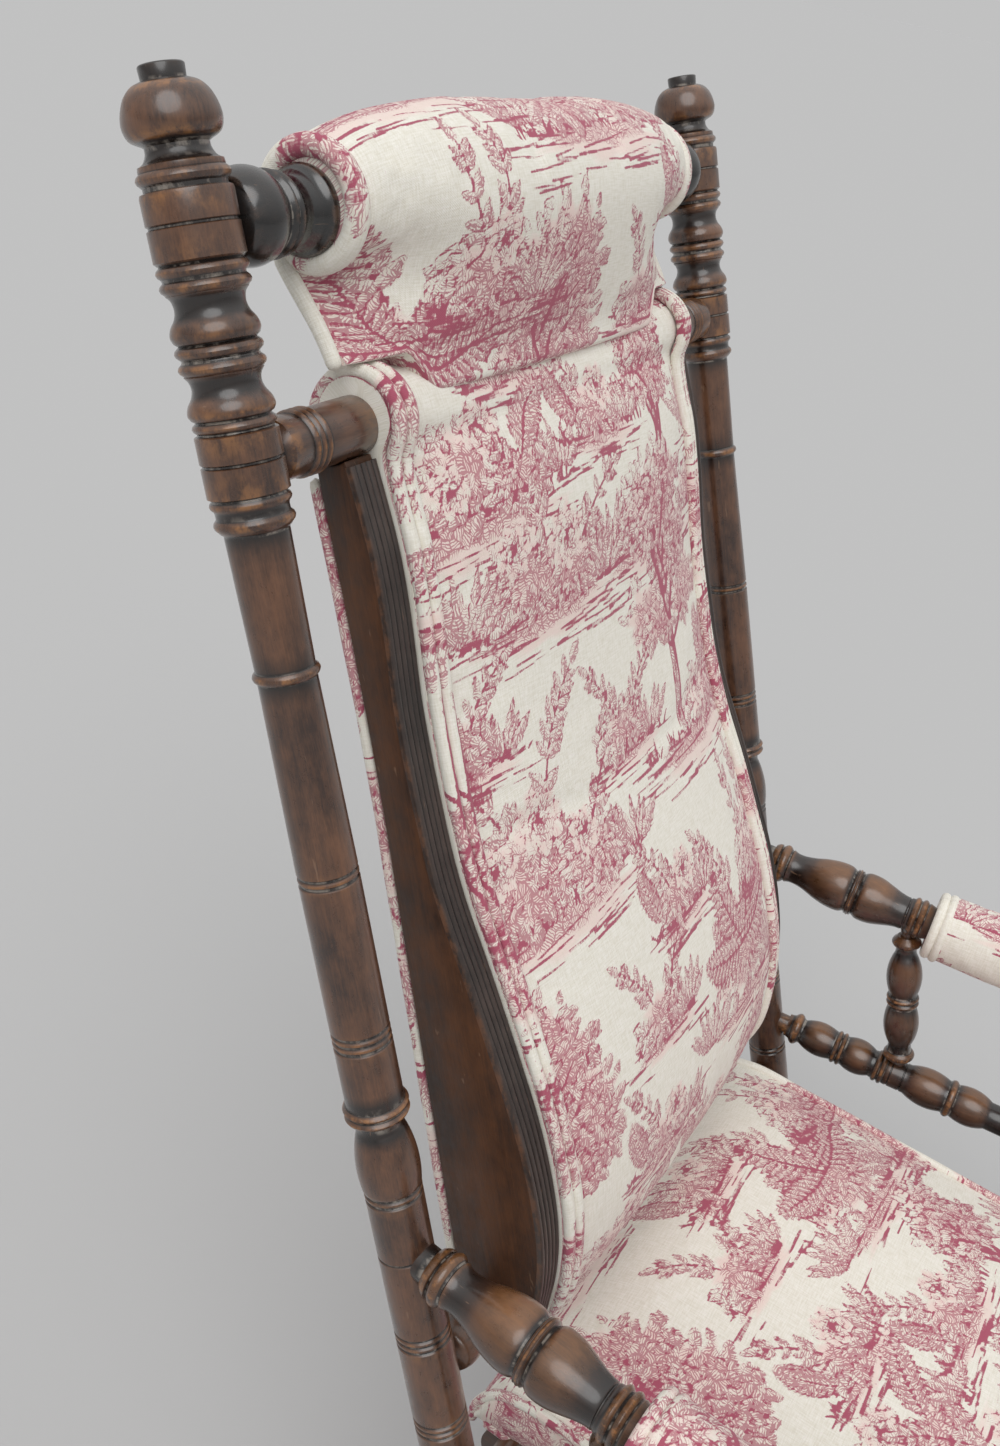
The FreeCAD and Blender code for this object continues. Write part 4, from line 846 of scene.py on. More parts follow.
def add(tree, kind, inputs=None, **settings):
    """Adds a node, sets its properties, and sets or links its inputs."""
    made = tree.nodes.new("ShaderNode" + kind)
    for name, value in settings.items():
        setattr(made, name, value)
    for socket, value in (inputs or {}).items():
        if isinstance(value, bpy.types.NodeSocket):
            tree.links.new(value, made.inputs[socket])
        else:
            made.inputs[socket].default_value = value
    return made


def blank(name):
    material = bpy.data.materials.new(name)
    material.use_nodes = True
    material.node_tree.nodes.clear()
    return material, material.node_tree


def polished_wood(name, painted_hollow_shade, deep, body, worn, wear=1.0, upward_wear_and_light=0.0, lie=None, rough=0.3, coat=0.45):
    """Stained hardwood, waxed and worn by rubbing: painted shade darkens its hollows and cut lines, its edges
    are worn to the bare golden wood, and where it faces up it turns golden, as hand wear and as painted light
    from above.
    """
    material, tree = blank(name)
    if lie is None:
        stock = add(tree, "Attribute", attribute_name="stock").outputs["Vector"]
    else:
        here = add(tree, "TexCoord").outputs["Object"]
        stock = add(tree, "Mapping", {"Vector": here, "Rotation": lie}).outputs["Vector"]
    edge = add(tree, "Attribute", attribute_name="edge").outputs["Fac"]
    hollow = add(tree, "Attribute", attribute_name="hollow").outputs["Fac"]
    # grain lines about 1.5 mm apart and 60 mm long; pores 0.6 mm wide and 5 mm long
    long_grain = add(tree, "Mapping", {"Vector": stock, "Scale": (420, 420, 15)}).outputs["Vector"]
    grain = add(tree, "TexNoise", {"Vector": long_grain, "Scale": 1.0, "Detail": 4.0, "Roughness": 0.55,
                                   "Distortion": 0.6}).outputs["Fac"]
    pore_place = add(tree, "Mapping", {"Vector": stock, "Scale": (1500, 1500, 190)}).outputs["Vector"]
    pores = add(tree, "TexNoise", {"Vector": pore_place, "Scale": 1.0, "Detail": 2.0}).outputs["Fac"]
    # broad figure, 30 to 60 mm patches of heavier and thinner stain, and blotches of about 8 mm
    broad = add(tree, "Mapping", {"Vector": stock, "Scale": (30, 30, 16)}).outputs["Vector"]
    figure = add(tree, "TexNoise", {"Vector": broad, "Scale": 1.0, "Detail": 3.0,
                                    "Roughness": 0.6}).outputs["Fac"]
    rub_place = add(tree, "Mapping", {"Vector": stock, "Scale": (120, 120, 85)}).outputs["Vector"]
    rub = add(tree, "TexNoise", {"Vector": rub_place, "Scale": 1.0, "Detail": 5.0,
                                 "Roughness": 0.7}).outputs["Fac"]
    mottled = add(tree, "Mix", {"Factor": 0.34, 2: figure, 3: rub}).outputs[0]
    mottled = add(tree, "Mix", {"Factor": 0.22, 2: mottled, 3: grain}).outputs[0]
    mottled = add(tree, "Mix", {"Factor": 0.14, 2: mottled, 3: pores}).outputs[0]
    stain = add(tree, "MapRange", {"Value": mottled, "From Min": 0.4, "From Max": 0.6}).outputs[0]
    colour = add(tree, "Mix", {"Factor": stain, 6: linear(deep), 7: linear(body)},
                 data_type="RGBA").outputs[2]
    patchy = add(tree, "MapRange", {"Value": rub, "From Min": 0.42, "From Max": 0.64},
                 interpolation_type="SMOOTHSTEP").outputs[0]
    high = add(tree, "MapRange", {"Value": edge, "From Min": 0.12, "From Max": 0.8}).outputs[0]
    # painted light from above, together with hand wear: surfaces that face up are mixed towards the worn
    # colour
    upward = add(tree, "SeparateXYZ", {0: add(tree, "NewGeometry").outputs["Normal"]}).outputs["Z"]
    hand_wear_and_top_light = add(tree, "MapRange", {"Value": upward, "From Min": -0.1, "From Max": 0.95,
                                     "To Max": upward_wear_and_light}).outputs[0]
    bare = add(tree, "MapRange", {"Value": hollow, "From Min": 0.3, "From Max": -0.3}).outputs[0]
    hand_wear_and_top_light = add(tree, "Math", {0: hand_wear_and_top_light, 1: bare}, operation="MULTIPLY").outputs[0]
    streaks = add(tree, "MapRange", {"Value": mottled, "From Min": 0.36, "From Max": 0.6,
                                     "To Min": 0.35}).outputs[0]
    hand_wear_and_top_light = add(tree, "Math", {0: hand_wear_and_top_light, 1: streaks}, operation="MULTIPLY").outputs[0]
    high = add(tree, "Math", {0: high, 1: patchy}, operation="MULTIPLY").outputs[0]
    wear_and_top_light_amount = add(tree, "Math", {0: high, 1: hand_wear_and_top_light}, operation="MAXIMUM").outputs[0]
    wear_and_top_light_amount = add(tree, "Math", {0: wear_and_top_light_amount, 1: 0.85 * wear}, operation="MULTIPLY",
                      use_clamp=True).outputs[0]
    colour = add(tree, "Mix", {"Factor": wear_and_top_light_amount, 6: colour, 7: linear(worn)},
                 data_type="RGBA").outputs[2]
    # painted shade: the hollows and the cut lines are darkened towards the near-black shade colour
    low = add(tree, "MapRange", {"Value": hollow, "From Min": 0.05, "From Max": 0.6}).outputs[0]
    painted_groove_shade = add(tree, "MapRange", {"Value": edge, "From Min": -0.12, "From Max": -0.5}).outputs[0]
    low = add(tree, "Math", {0: low, 1: painted_groove_shade}, operation="MAXIMUM").outputs[0]
    low = add(tree, "Math", {0: low, 1: 0.9}, operation="MULTIPLY").outputs[0]
    colour = add(tree, "Mix", {"Factor": low, 6: colour, 7: linear(painted_hollow_shade)}, data_type="RGBA").outputs[2]
    # old wax, dried pale in some of the cut lines
    deep_cut = add(tree, "MapRange", {"Value": edge, "From Min": -0.55, "From Max": -0.9}).outputs[0]
    dusty = add(tree, "MapRange", {"Value": rub, "From Min": 0.47, "From Max": 0.6}).outputs[0]
    wax = add(tree, "Math", {0: deep_cut, 1: dusty}, operation="MULTIPLY").outputs[0]
    wax = add(tree, "Math", {0: wax, 1: 0.6}, operation="MULTIPLY").outputs[0]
    colour = add(tree, "Mix", {"Factor": wax, 6: colour, 7: linear("#a79d92")}, data_type="RGBA").outputs[2]
    # nicks and short scratches, 0.4 mm wide, at a slant to the grain
    nick_place = add(tree, "Mapping", {"Vector": stock, "Rotation": (0.3, 0.5, 0.2), "Scale": (900, 220, 60)})
    nicks = add(tree, "TexNoise", {"Vector": nick_place.outputs[0], "Scale": 1.0,
                                   "Detail": 2.0}).outputs["Fac"]
    nicked = add(tree, "MapRange", {"Value": nicks, "From Min": 0.71, "From Max": 0.76,
                                    "To Max": 0.4}).outputs[0]
    colour = add(tree, "Mix", {"Factor": nicked, 6: colour, 7: linear("#8d6e57")},
                 data_type="RGBA").outputs[2]
    gloss = add(tree, "MapRange", {"Value": rub, "From Min": 0.3, "From Max": 0.7, "To Min": rough - 0.08,
                                   "To Max": rough + 0.16}).outputs[0]
    bumps = add(tree, "Mix", {"Factor": 0.5, 2: grain, 3: pores}).outputs[0]
    bump = add(tree, "Bump", {"Height": bumps, "Strength": 0.3, "Distance": 0.0003}).outputs[0]
    shader = add(tree, "BsdfPrincipled", {"Base Color": colour, "Roughness": gloss, "Normal": bump,
                                          "IOR": 1.5,
                                          "Coat Weight": coat, "Coat Roughness": 0.17})
    add(tree, "OutputMaterial", {"Surface": shader.outputs[0]})
    return material


def linen(name, printed=True, warm="#eeebe2"):
    """Plain-woven linen, printed in one raspberry red with a paler tint, or left natural."""
    material, tree = blank(name)
    cloth = add(tree, "UVMap", uv_map="cloth").outputs[0]
    # slubs: thicker yarns 1 mm wide and 9 mm long, both ways of the weave
    weft_place = add(tree, "Mapping", {"Vector": cloth, "Scale": (110, 1000, 1)}).outputs[0]
    warp_place = add(tree, "Mapping", {"Vector": cloth, "Scale": (1000, 110, 1)}).outputs[0]
    weft = add(tree, "TexNoise", {"Vector": weft_place, "Scale": 1.0, "Detail": 3.0},
               noise_dimensions="2D").outputs[0]
    warp = add(tree, "TexNoise", {"Vector": warp_place, "Scale": 1.0, "Detail": 3.0},
               noise_dimensions="2D").outputs[0]
    yarns = add(tree, "Math", {0: weft, 1: warp}, operation="ADD").outputs[0]
    # threads 1.3 mm apart: twice the real spacing, as fine as the view can show
    split = add(tree, "SeparateXYZ", {0: cloth})
    waves = []
    for axis in ("X", "Y"):
        turn = add(tree, "Math", {0: split.outputs[axis], 1: math.tau / 0.0013},
                   operation="MULTIPLY").outputs[0]
        waves.append(add(tree, "Math", {0: turn}, operation="SINE").outputs[0])
    weave = add(tree, "Math", {0: waves[0], 1: waves[1]}, operation="MULTIPLY").outputs[0]
    slub = add(tree, "MapRange", {"Value": yarns, "From Min": 0.7, "From Max": 1.3}).outputs[0]
    colour = add(tree, "Mix", {"Factor": slub, 6: linear("#ded9cb"), 7: linear(warm)},
                 data_type="RGBA").outputs[2]
    if printed:
        ink, tone, wash = (add(tree, "Attribute", attribute_name=word).outputs["Fac"]
                           for word in ("ink", "tone", "wash"))
        # the ink sits on the raised yarns, so its edges break up along them
        broken = add(tree, "MapRange", {"Value": yarns, "From Min": 0.6, "From Max": 1.4, "To Min": -0.09,
                                        "To Max": 0.09}).outputs[0]
        drawn = add(tree, "Math", {0: ink, 1: broken}, operation="ADD").outputs[0]
        line = add(tree, "MapRange", {"Value": drawn, "From Min": 0.42, "From Max": 0.56},
                   interpolation_type="SMOOTHSTEP").outputs[0]
        # engraved shading: leaf-sized patches 6 mm across, each hatched its own way with lines 1.7 mm apart
        sway = add(tree, "TexNoise", {"Vector": cloth, "Scale": 150.0, "Detail": 2.0}, noise_dimensions="2D")
        sway = add(tree, "VectorMath", {0: sway.outputs["Color"], 1: (0.5, 0.5, 0.5)}, operation="SUBTRACT")
        sway = add(tree, "VectorMath", {0: sway.outputs[0], "Scale": 0.004}, operation="SCALE").outputs[0]
        swayed = add(tree, "VectorMath", {0: cloth, 1: sway}, operation="ADD").outputs[0]
        patch = add(tree, "TexVoronoi", {"Vector": swayed, "Scale": 165.0}, voronoi_dimensions="2D")
        border = add(tree, "TexVoronoi", {"Vector": swayed, "Scale": 165.0}, voronoi_dimensions="2D",
                     feature="DISTANCE_TO_EDGE").outputs["Distance"]
        border = add(tree, "MapRange", {"Value": border, "From Min": 0.02, "From Max": 0.2}).outputs[0]
        tilt = add(tree, "SeparateXYZ", {0: patch.outputs["Color"]}).outputs["X"]
        tilt = add(tree, "Math", {0: tilt, 1: math.pi}, operation="MULTIPLY").outputs[0]
        combed = add(tree, "VectorRotate", {"Vector": swayed, "Angle": tilt},
                     rotation_type="Z_AXIS").outputs[0]
        combed = add(tree, "SeparateXYZ", {0: combed}).outputs["X"]
        combed = add(tree, "Math", {0: combed, 1: math.tau / 0.0017}, operation="MULTIPLY").outputs[0]
        hatch = add(tree, "Math", {0: combed}, operation="SINE").outputs[0]
        hatch = add(tree, "MapRange", {"Value": hatch, "From Min": -1.0, "From Max": 1.0}).outputs[0]
        pattern = add(tree, "Math", {0: hatch, 1: border}, operation="MINIMUM").outputs[0]
        over = add(tree, "Math", {0: tone, 1: pattern}, operation="SUBTRACT").outputs[0]
        over = add(tree, "Math", {0: over, 1: broken}, operation="ADD").outputs[0]
        shaded = add(tree, "MapRange", {"Value": over, "From Min": 0.0, "From Max": 0.22},
                     interpolation_type="SMOOTHSTEP").outputs[0]
        shaded = add(tree, "Math", {0: shaded, 1: 0.72}, operation="MULTIPLY").outputs[0]
        inked = add(tree, "Math", {0: line, 1: shaded}, operation="MAXIMUM").outputs[0]
        inked = add(tree, "Math", {0: inked, 1: 0.95}, operation="MULTIPLY").outputs[0]
        tint_edge = add(tree, "Math", {0: wash, 1: broken}, operation="ADD").outputs[0]
        tint = add(tree, "MapRange", {"Value": tint_edge, "From Min": 0.1, "From Max": 0.7,
                                      "To Max": 0.75}).outputs[0]
        colour = add(tree, "Mix", {"Factor": tint, 6: colour, 7: linear("#e9c3be")},
                     data_type="RGBA").outputs[2]
        colour = add(tree, "Mix", {"Factor": inked, 6: colour, 7: linear("#a54660")},
                     data_type="RGBA").outputs[2]
    relief = add(tree, "Math", {0: yarns, 1: weave}, operation="ADD").outputs[0]
    bump = add(tree, "Bump", {"Height": relief, "Strength": 0.3, "Distance": 0.0003}).outputs[0]
    shader = add(tree, "BsdfPrincipled", {"Base Color": colour, "Roughness": 0.88, "Normal": bump,
                                          "IOR": 1.45,
                                          "Specular IOR Level": 0.25, "Sheen Weight": 0.15,
                                          "Sheen Roughness": 0.5})
    add(tree, "OutputMaterial", {"Surface": shader.outputs[0]})
    return material


def iron(name, tone, bright, rough, metallic):
    """Iron or steel with a mottled, slightly rusted skin; patches about 6 mm across."""
    material, tree = blank(name)
    here = add(tree, "TexCoord").outputs["Object"]
    patches = add(tree, "TexNoise", {"Vector": here, "Scale": 160.0, "Detail": 5.0,
                                     "Roughness": 0.6}).outputs["Fac"]
    pits = add(tree, "TexNoise", {"Vector": here, "Scale": 900.0, "Detail": 2.0}).outputs["Fac"]
    share = add(tree, "MapRange", {"Value": patches, "From Min": 0.35, "From Max": 0.7}).outputs[0]
    colour = add(tree, "Mix", {"Factor": share, 6: linear(tone), 7: linear(bright)},
                 data_type="RGBA").outputs[2]
    dull = add(tree, "MapRange", {"Value": patches, "From Min": 0.3, "From Max": 0.7, "To Min": rough - 0.1,
                                  "To Max": rough + 0.15}).outputs[0]
    bump = add(tree, "Bump", {"Height": pits, "Strength": 0.35, "Distance": 0.0003}).outputs[0]
    shader = add(tree, "BsdfPrincipled", {"Base Color": colour, "Roughness": dull, "Normal": bump,
                                          "Metallic": metallic})
    add(tree, "OutputMaterial", {"Surface": shader.outputs[0]})
    return material


def hessian(name):
    """Coarse jute hessian under the seat, threads 2.5 mm apart."""
    material, tree = blank(name)
    here = add(tree, "TexCoord").outputs["Object"]
    split = add(tree, "SeparateXYZ", {0: here})
    waves = []
    for axis in ("X", "Y"):
        turn = add(tree, "Math", {0: split.outputs[axis], 1: math.tau / 0.005},
                   operation="MULTIPLY").outputs[0]
        waves.append(add(tree, "Math", {0: turn}, operation="SINE").outputs[0])
    weave = add(tree, "Math", {0: waves[0], 1: waves[1]}, operation="MULTIPLY").outputs[0]
    uneven = add(tree, "TexNoise", {"Vector": here, "Scale": 60.0, "Detail": 4.0}).outputs["Fac"]
    share = add(tree, "Math", {0: weave, 1: uneven}, operation="ADD").outputs[0]
    colour = add(tree, "Mix", {"Factor": share, 6: linear("#5d4a30"), 7: linear("#8f774f")},
                 data_type="RGBA").outputs[2]
    bump = add(tree, "Bump", {"Height": weave, "Strength": 0.6, "Distance": 0.0006}).outputs[0]
    shader = add(tree, "BsdfPrincipled", {"Base Color": colour, "Roughness": 0.92, "Normal": bump})
    add(tree, "OutputMaterial", {"Surface": shader.outputs[0]})
    return material


# dark brown stain worn to golden wood on the ring crests, with painted near-black shade in the coves and cut
# lines, a little golden where it faces up as hand wear and painted light from above, waxed to a soft shine
walnut_turned = polished_wood("stained_hardwood_turned", "#0d0908", "#32211a", "#68452f", "#9c6a3a",
                              wear=0.75,
                              upward_wear_and_light=0.12, coat=0.7)
# the same stain, golden where it faces up: worn so by hands, and also painted light from above
walnut_arm = polished_wood("stained_hardwood_arms_worn_and_lit_from_above", "#0d0908", "#241711", "#4a3022", "#a06c3c", wear=0.9,
                           upward_wear_and_light=0.62, coat=0.7)
# hard black polish that mirrors the room softly, brown at its worn lip
ebonised = polished_wood("ebonised_rail", "#060505", "#0c0a0a", "#1a1513", "#6b5040", wear=0.6, rough=0.2,
                         coat=0.9)
# sawn and oiled board: matt, deep red-brown, with grain along its length
walnut_board = polished_wood("stained_walnut_board", "#180c06", "#2a1507", "#553012", "#6e4423", wear=0.5,
                             rough=0.5,
                             coat=0.05)
# scraped reeds, grey-brown in the cuts, with painted shade in the grooves between them, and orange at the
# arris, which is worn by rubbing
walnut_reeds = polished_wood("stained_walnut_reeds", "#0f0c0a", "#251c18", "#433630", "#84532f", wear=0.9,
                             rough=0.4, coat=0.25)
# sawn rails and rockers with lengthwise grain and a dull wax
walnut_long = polished_wood("stained_hardwood_lengthwise", "#1c0f08", "#2c1a13", "#553523", "#8a5a30",
                            lie=(math.pi / 2, 0, 0), rough=0.4, coat=0.25)
# woven linen with an engraved raspberry print that breaks on the slubs
printed_linen = linen("linen_printed_red")
# the same linen unprinted, cream and matt, for the piping
plain_linen = linen("linen_natural_piping", printed=False)
# sand-cast and blackened: dark, dull and slightly grained
cast_iron = iron("cast_iron_blackened", "#141313", "#2b2624", 0.55, 0.7)
# drawn wire, oiled: grey with a soft metal shine
spring_steel = iron("spring_steel_oiled", "#4a4643", "#77716b", 0.38, 1.0)
# machined screws gone dull
screw_steel = iron("screw_steel_dull", "#57504a", "#7d756c", 0.45, 1.0)
# coarse woven jute, brown and matt
seat_hessian = hessian("jute_hessian")


# Posts

def post_line():
    """The back post down from its button, with its drums, coves, rings and cut lines."""
    marks = [(-21, 0.1), (-21, 8.6), (-20, 10, 0.3), (-14.6, 9.7)]
    marks += flow((-14.5, 11), (-13, 14.6), (-9.4, 18.2), (-3, 20.9), (2.5, 21.4), (7, 19.6), (9.8, 14.8))
    marks += flow((10.4, 14), (13, 14.2), (16, 15.8), (17.2, 17.4)) + [(17.6, 18.5), (19.6, 18.8)]
    marks += bead(22.8, 5.4, 18.7, 1.9) + [
        (26, 18.3), (27.6, 18.3), (28.4, 20.1), (29.8, 20.5), (56, 20.5), (57.5, 18.8)]
    marks += bead(60.4, 5.4, 18.6, 2.0) + bead(66.8, 5.4, 18.4, 2.0)
    marks += flow((69.8, 18.4), (72, 16.6), (76, 15.9), (79.5, 16.8), (83.4, 19.3), (87, 20.2), (89.8, 19.2))
    marks += [(91.2, 17.4)] + bead(94.2, 5.6, 17.9, 2.1) + [(97.6, 17.5)] + bead(101.2, 5.6, 17.8, 2.1)
    marks += flow((104.4, 18.1), (106.6, 16.5), (110, 15.8), (113.4, 16.7), (117.4, 19.2), (121, 20),
                  (123.2, 19))
    marks += [(124.3, 17.3)] + bead(127.1, 4.8, 17.5, 1.9) + [
        (130, 17.6), (131, 19.4), (158.6, 19.5), (159.6, 17.7)]
    marks += bead(162.4, 4.6, 17.8, 1.5) + [(166, 17.4), (168.4, 17.4)] + bead(171.6, 5.6, 17.6, 1.7)
    marks += [(175.4, 16.8), (177.5, 15.6, -0.5), (242, 14.9)] + bead(246.1, 5.6, 14.9, 1.9)
    marks += [(250, 14.8), (352, 16.0), (490.4, 16.2)] + bead(493.4, 4.6, 16.2, 2.2) + bead(
        498.4, 4.8, 16.0, 2.2)
    marks += [(503, 13.4, -0.5), (507, 13.1), (548, 16.6, 2.7), (553, 16.5), (592, 16.4),
              (POST_LENGTH - 108, 16.2)]
    marks += bead(POST_LENGTH - 104, 6, 16.2, 2) + [(POST_LENGTH - 92, 13, -1), (POST_LENGTH - 48, 12, 4)]
    marks += bead(POST_LENGTH - 44, 5, 11.5, 2)
    marks += [(POST_LENGTH - 30, 10.5), (POST_LENGTH + 24, 10.4), (POST_LENGTH + 24, 0.1)]
    cuts = [(at, 1.1, 1.0) for at in (42.0, 144.0, 592.0)]
    cuts += [(at, 1.5, 1.1) for at in (352.6, 356.8, 445.4, 449.6, 453.8, 548.2, 552.4, 646.7, 650.9, 655.1,
                                       712.0,
                                       716.2, 720.4, 786.0, 790.2)]
    return scribed(turned(marks), cuts)


turned_pair("back_post", post_line(), post_spot(0.0), -POST_UP, "chair", walnut_turned, faces=56)


# Rails across the back

def crest_line():
    marks = [(16, 10), (20.8, 16.5), (21, 17), (44, 18.6, 4.2), (45, 17.6)] + bead(47.6, 4.4, 17.8, 2.2)
    marks += [(50.4, 17.2)] + bead(53, 4.2, 17.4, 1.8) + [
        (56, 17), (60, 15.9, -0.5), (66, 17.2, -0.6), (71.5, 20.8, -0.8), (76, 21.2, 0.5), (78, 18)]
    return turned(mirrored(marks, HALF_SPACING))


def upper_line():
    marks = [(16, 10), (19.8, 14.4), (20.4, 15.2), (34, 15.2)] + bead(36.6, 4.2, 15.0, 1.6) + bead(
        41, 4.2, 15.0, 1.6)
    marks += bead(45.4, 4.2, 15.0, 1.6) + [(49, 15.2), (84, 15.2), (86, 14)]
    return turned(mirrored(marks, HALF_SPACING))


crest_rail = stand(lathe("crest_rail_turned", crest_line(), 56), post_spot(CREST), ACROSS)
keep_on(crest_rail, "chair", ebonised, "ebonised_wood", "crest_rail")
upper_rail = stand(lathe("back_upper_rail_turned", upper_line(), 48), post_spot(UPPER), ACROSS)
keep_on(upper_rail, "chair", walnut_turned, "stained_wood", "back_upper_rail")


# Arms, side rails and spindles

def arm_line():
    marks = [(12, 0.1), (12, 11), (20, 11)] + flow((20.6, 13.2), (23, 14.8), (25.4, 15.4)) + [(26.2, 13.8)]
    marks += bead(30.6, 8.0, 14.0, 2.6) + [(35.4, 13.6), (36.2, 14.4)]
    marks += flow((36.6, 14.2), (40, 13.1), (46, 13.1), (54, 14.7), (64, 17.9), (74, 20), (81, 20.5),
                  (86, 20), (89.4, 18.4))
    marks += bead(93.6, 6.8, 18.0, 2.3)
    marks += flow((97.6, 18.4), (101, 20.2), (106, 20.6), (113, 19.9), (122, 17.4), (130, 15), (136, 14),
                  (141, 14.3))
    marks += bead(144.6, 5.4, 14.6, 2.2) + bead(150.6, 5.6, 14.8, 2.2)
    marks += [(155, 15.4), (159, 14), (396, 14)] + bead(401, 5, 15, 2.2) + bead(407, 5, 15, 2.2)
    marks += [(424, 12, -1), (433, 14, 1), (435, 9), (446, 8), (446, 0.1)]
    return scribed(turned(marks), [(92.2, 0.7, 0.5), (95.0, 0.7, 0.5), (138.6, 0.8, 0.6)])


def side_line():
    length = (SIDE_END - SIDE_START).length / MM
    middle = length / 2
    marks = [(12, 0.1), (12, 8), (22, 8), (22, 10), (26.5, 11, -0.3)] + bead(31, 8, 11.4, 2.9)
    marks += [(38, 11.5, -0.6), (64, 13.4, 2.6)] + bead(68.2, 4.8, 13.0, 1.9) + bead(73, 4.4, 13.0, 1.9)
    marks += [(76.4, 13.2), (101, 12, 3.0)] + bead(106, 5, 12.4, 1.9) + bead(111, 4.6, 12.6, 1.9)
    marks += [(114, 13), (133, 13)] + [(166, 14.6, 3.2)] + bead(171, 7, 14.4, 2.3)
    marks += [(176, 14.8), (middle - 8, 12, 3.0)]
    return scribed(turned(mirrored(marks, middle)), [(118, 0.8, 0.6), (129, 0.8, 0.6)])


def spindle_line(span, top_wall, foot_wall):
    low, high = top_wall + 1.5, span - foot_wall - 1.5
    middle = (low + high) / 2
    marks = [(6, 0.1), (6, 5.5), (low, 5.5), (low, 7.5)] + bead(low + 6, 8, 9.2, 3.0)
    marks += [(low + 18, 9.5, -0.8), (middle - 6, 11.5, 4.2)] + bead(middle - 2.4, 4.8, 11.6, 1.9)
    marks += bead(middle + 2.6, 4.8, 11.6, 1.9) + [(middle + 6, 11.5), (high - 18, 9.5, 4.2)]
    marks += bead(high - 7, 9, 10, 3.2) + [(high, 8), (high, 5.5), (span - 6, 5.5), (span - 6, 0.1)]
    return turned(marks)


turned_pair("arm_rail", arm_line(), ARM_START, ARM_WAY, "chair", walnut_arm, faces=56)
turned_pair("side_rail", side_line(), SIDE_START, SIDE_WAY, "chair", walnut_arm)
for title, top, foot, foot_wall in (("rear_arm_spindle", SPINDLE_TOP, SPINDLE_FOOT, 14),
                                    ("front_arm_spindle", FRONT_SPINDLE_TOP, FRONT_SPINDLE_FOOT, 15.8)):
    span = (foot - top).length / MM
    turned_pair(title, spindle_line(span, 18.5, foot_wall), top, (foot - top).normalized(), "chair",
                walnut_arm)


# The rest of the turned work keeps the solids' own outlines

STRETCH_REAR = post_spot(STRETCHER_DOWN)
STRETCH_FRONT = ARM_END + FRONT_DOWN * ((STRETCH_REAR.z + 0.006 - ARM_END.z) / FRONT_DOWN.z)
STRETCH_WAY = (STRETCH_FRONT - STRETCH_REAR).normalized()
SEAT_RAIL_REAR = post_spot(SEAT_RAIL_DOWN)
SEAT_RAIL_FRONT = ARM_END + FRONT_DOWN * ((SEAT_RAIL_REAR.z + 0.008 - ARM_END.z) / FRONT_DOWN.z)

for side in ("right", "left"):
    flip = (lambda place: place) if side == "right" else left_of
    worn_copy("front_post_" + side, flip(ARM_END), flip(FRONT_DOWN), "chair", walnut_turned)
    worn_copy("side_stretcher_" + side, flip(STRETCH_REAR), flip(STRETCH_WAY), "chair", walnut_turned)
    for end in ("rear", "front"):
        node = "base_foot_%s_%s" % (end, side)
        low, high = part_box(node)
        middle = (low + high) / 2
        worn_copy(node, Vector((middle.x, middle.y, 0)), Vector((0, 0, 1)), "base", walnut_turned)
for node, start in (("back_lower_rail", post_spot(LOWER)), ("seat_rear_rail", SEAT_RAIL_REAR),
                    ("seat_front_rail", SEAT_RAIL_FRONT), ("rear_stretcher", STRETCH_REAR + POST_UP * 0.034),
                    ("front_stretcher", STRETCH_FRONT + FRONT_DOWN * 0.034)):
    worn_copy(node, start, ACROSS, "chair", walnut_turned)
for end in ("rear", "front"):
    low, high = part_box("base_cross_rail_" + end)
    middle = (low + high) / 2
    worn_copy("base_cross_rail_" + end, Vector((low.x, middle.y, middle.z)), ACROSS, "base", walnut_turned)


# Side boards with reeded fronts

FRONT_EDGE = [(-156, -11.2), (-182, -14.6), (-208, -17.2), (-234, -17.5), (-261, -16.4), (-292, -14.8),
              (-325, -15.2), (-356, -16.4), (-387, -18.4), (-415, -22.3), (-444, -28.4), (-487, -36.6),
              (-521, -42.6), (-548, -46.8), (-575, -49.4), (-600, -50.3), (-626, -49.4), (-650, -46),
              (-673, -40), (-701, -29.5)]
REAR_EDGE = [(-156, 11.0), (-258, 9.4), (-340, 9.6), (-424, 12.2), (-497, 14.4), (-560, 16.2), (-645, 18.4),
             (-700, 19.4)]
front_line = smooth_line(FRONT_EDGE)
rear_line = smooth_line(REAR_EDGE)


def front_at(up):
    """How far the back's front edge stands from the post axes, at a height."""
    points = front_line[0]
    return np.interp(up, points[::-1, 0], points[::-1, 1])


def rear_at(up):
    points = rear_line[0]
    return np.interp(up, points[::-1, 0], points[::-1, 1])


def board_outline():
    """The board's outline in (behind, up), from its top rear corner round by the rear."""
    points = [(rear_at(up), up) for up in np.linspace(-156, -700, 36)]
    points += [(17.5, -712), (12, -721), (4, -726), (-6, -726), (-12.5, -723), (-19, -714)]
    points += [(front_at(up) + 3.4, up) for up in np.linspace(-701, -161, 60)]
    cope = [(15.9 * math.sin(turn), -UPPER - 15.9 * math.cos(turn)) for turn in np.linspace(-0.5, 0.62, 7)]
    return points + cope


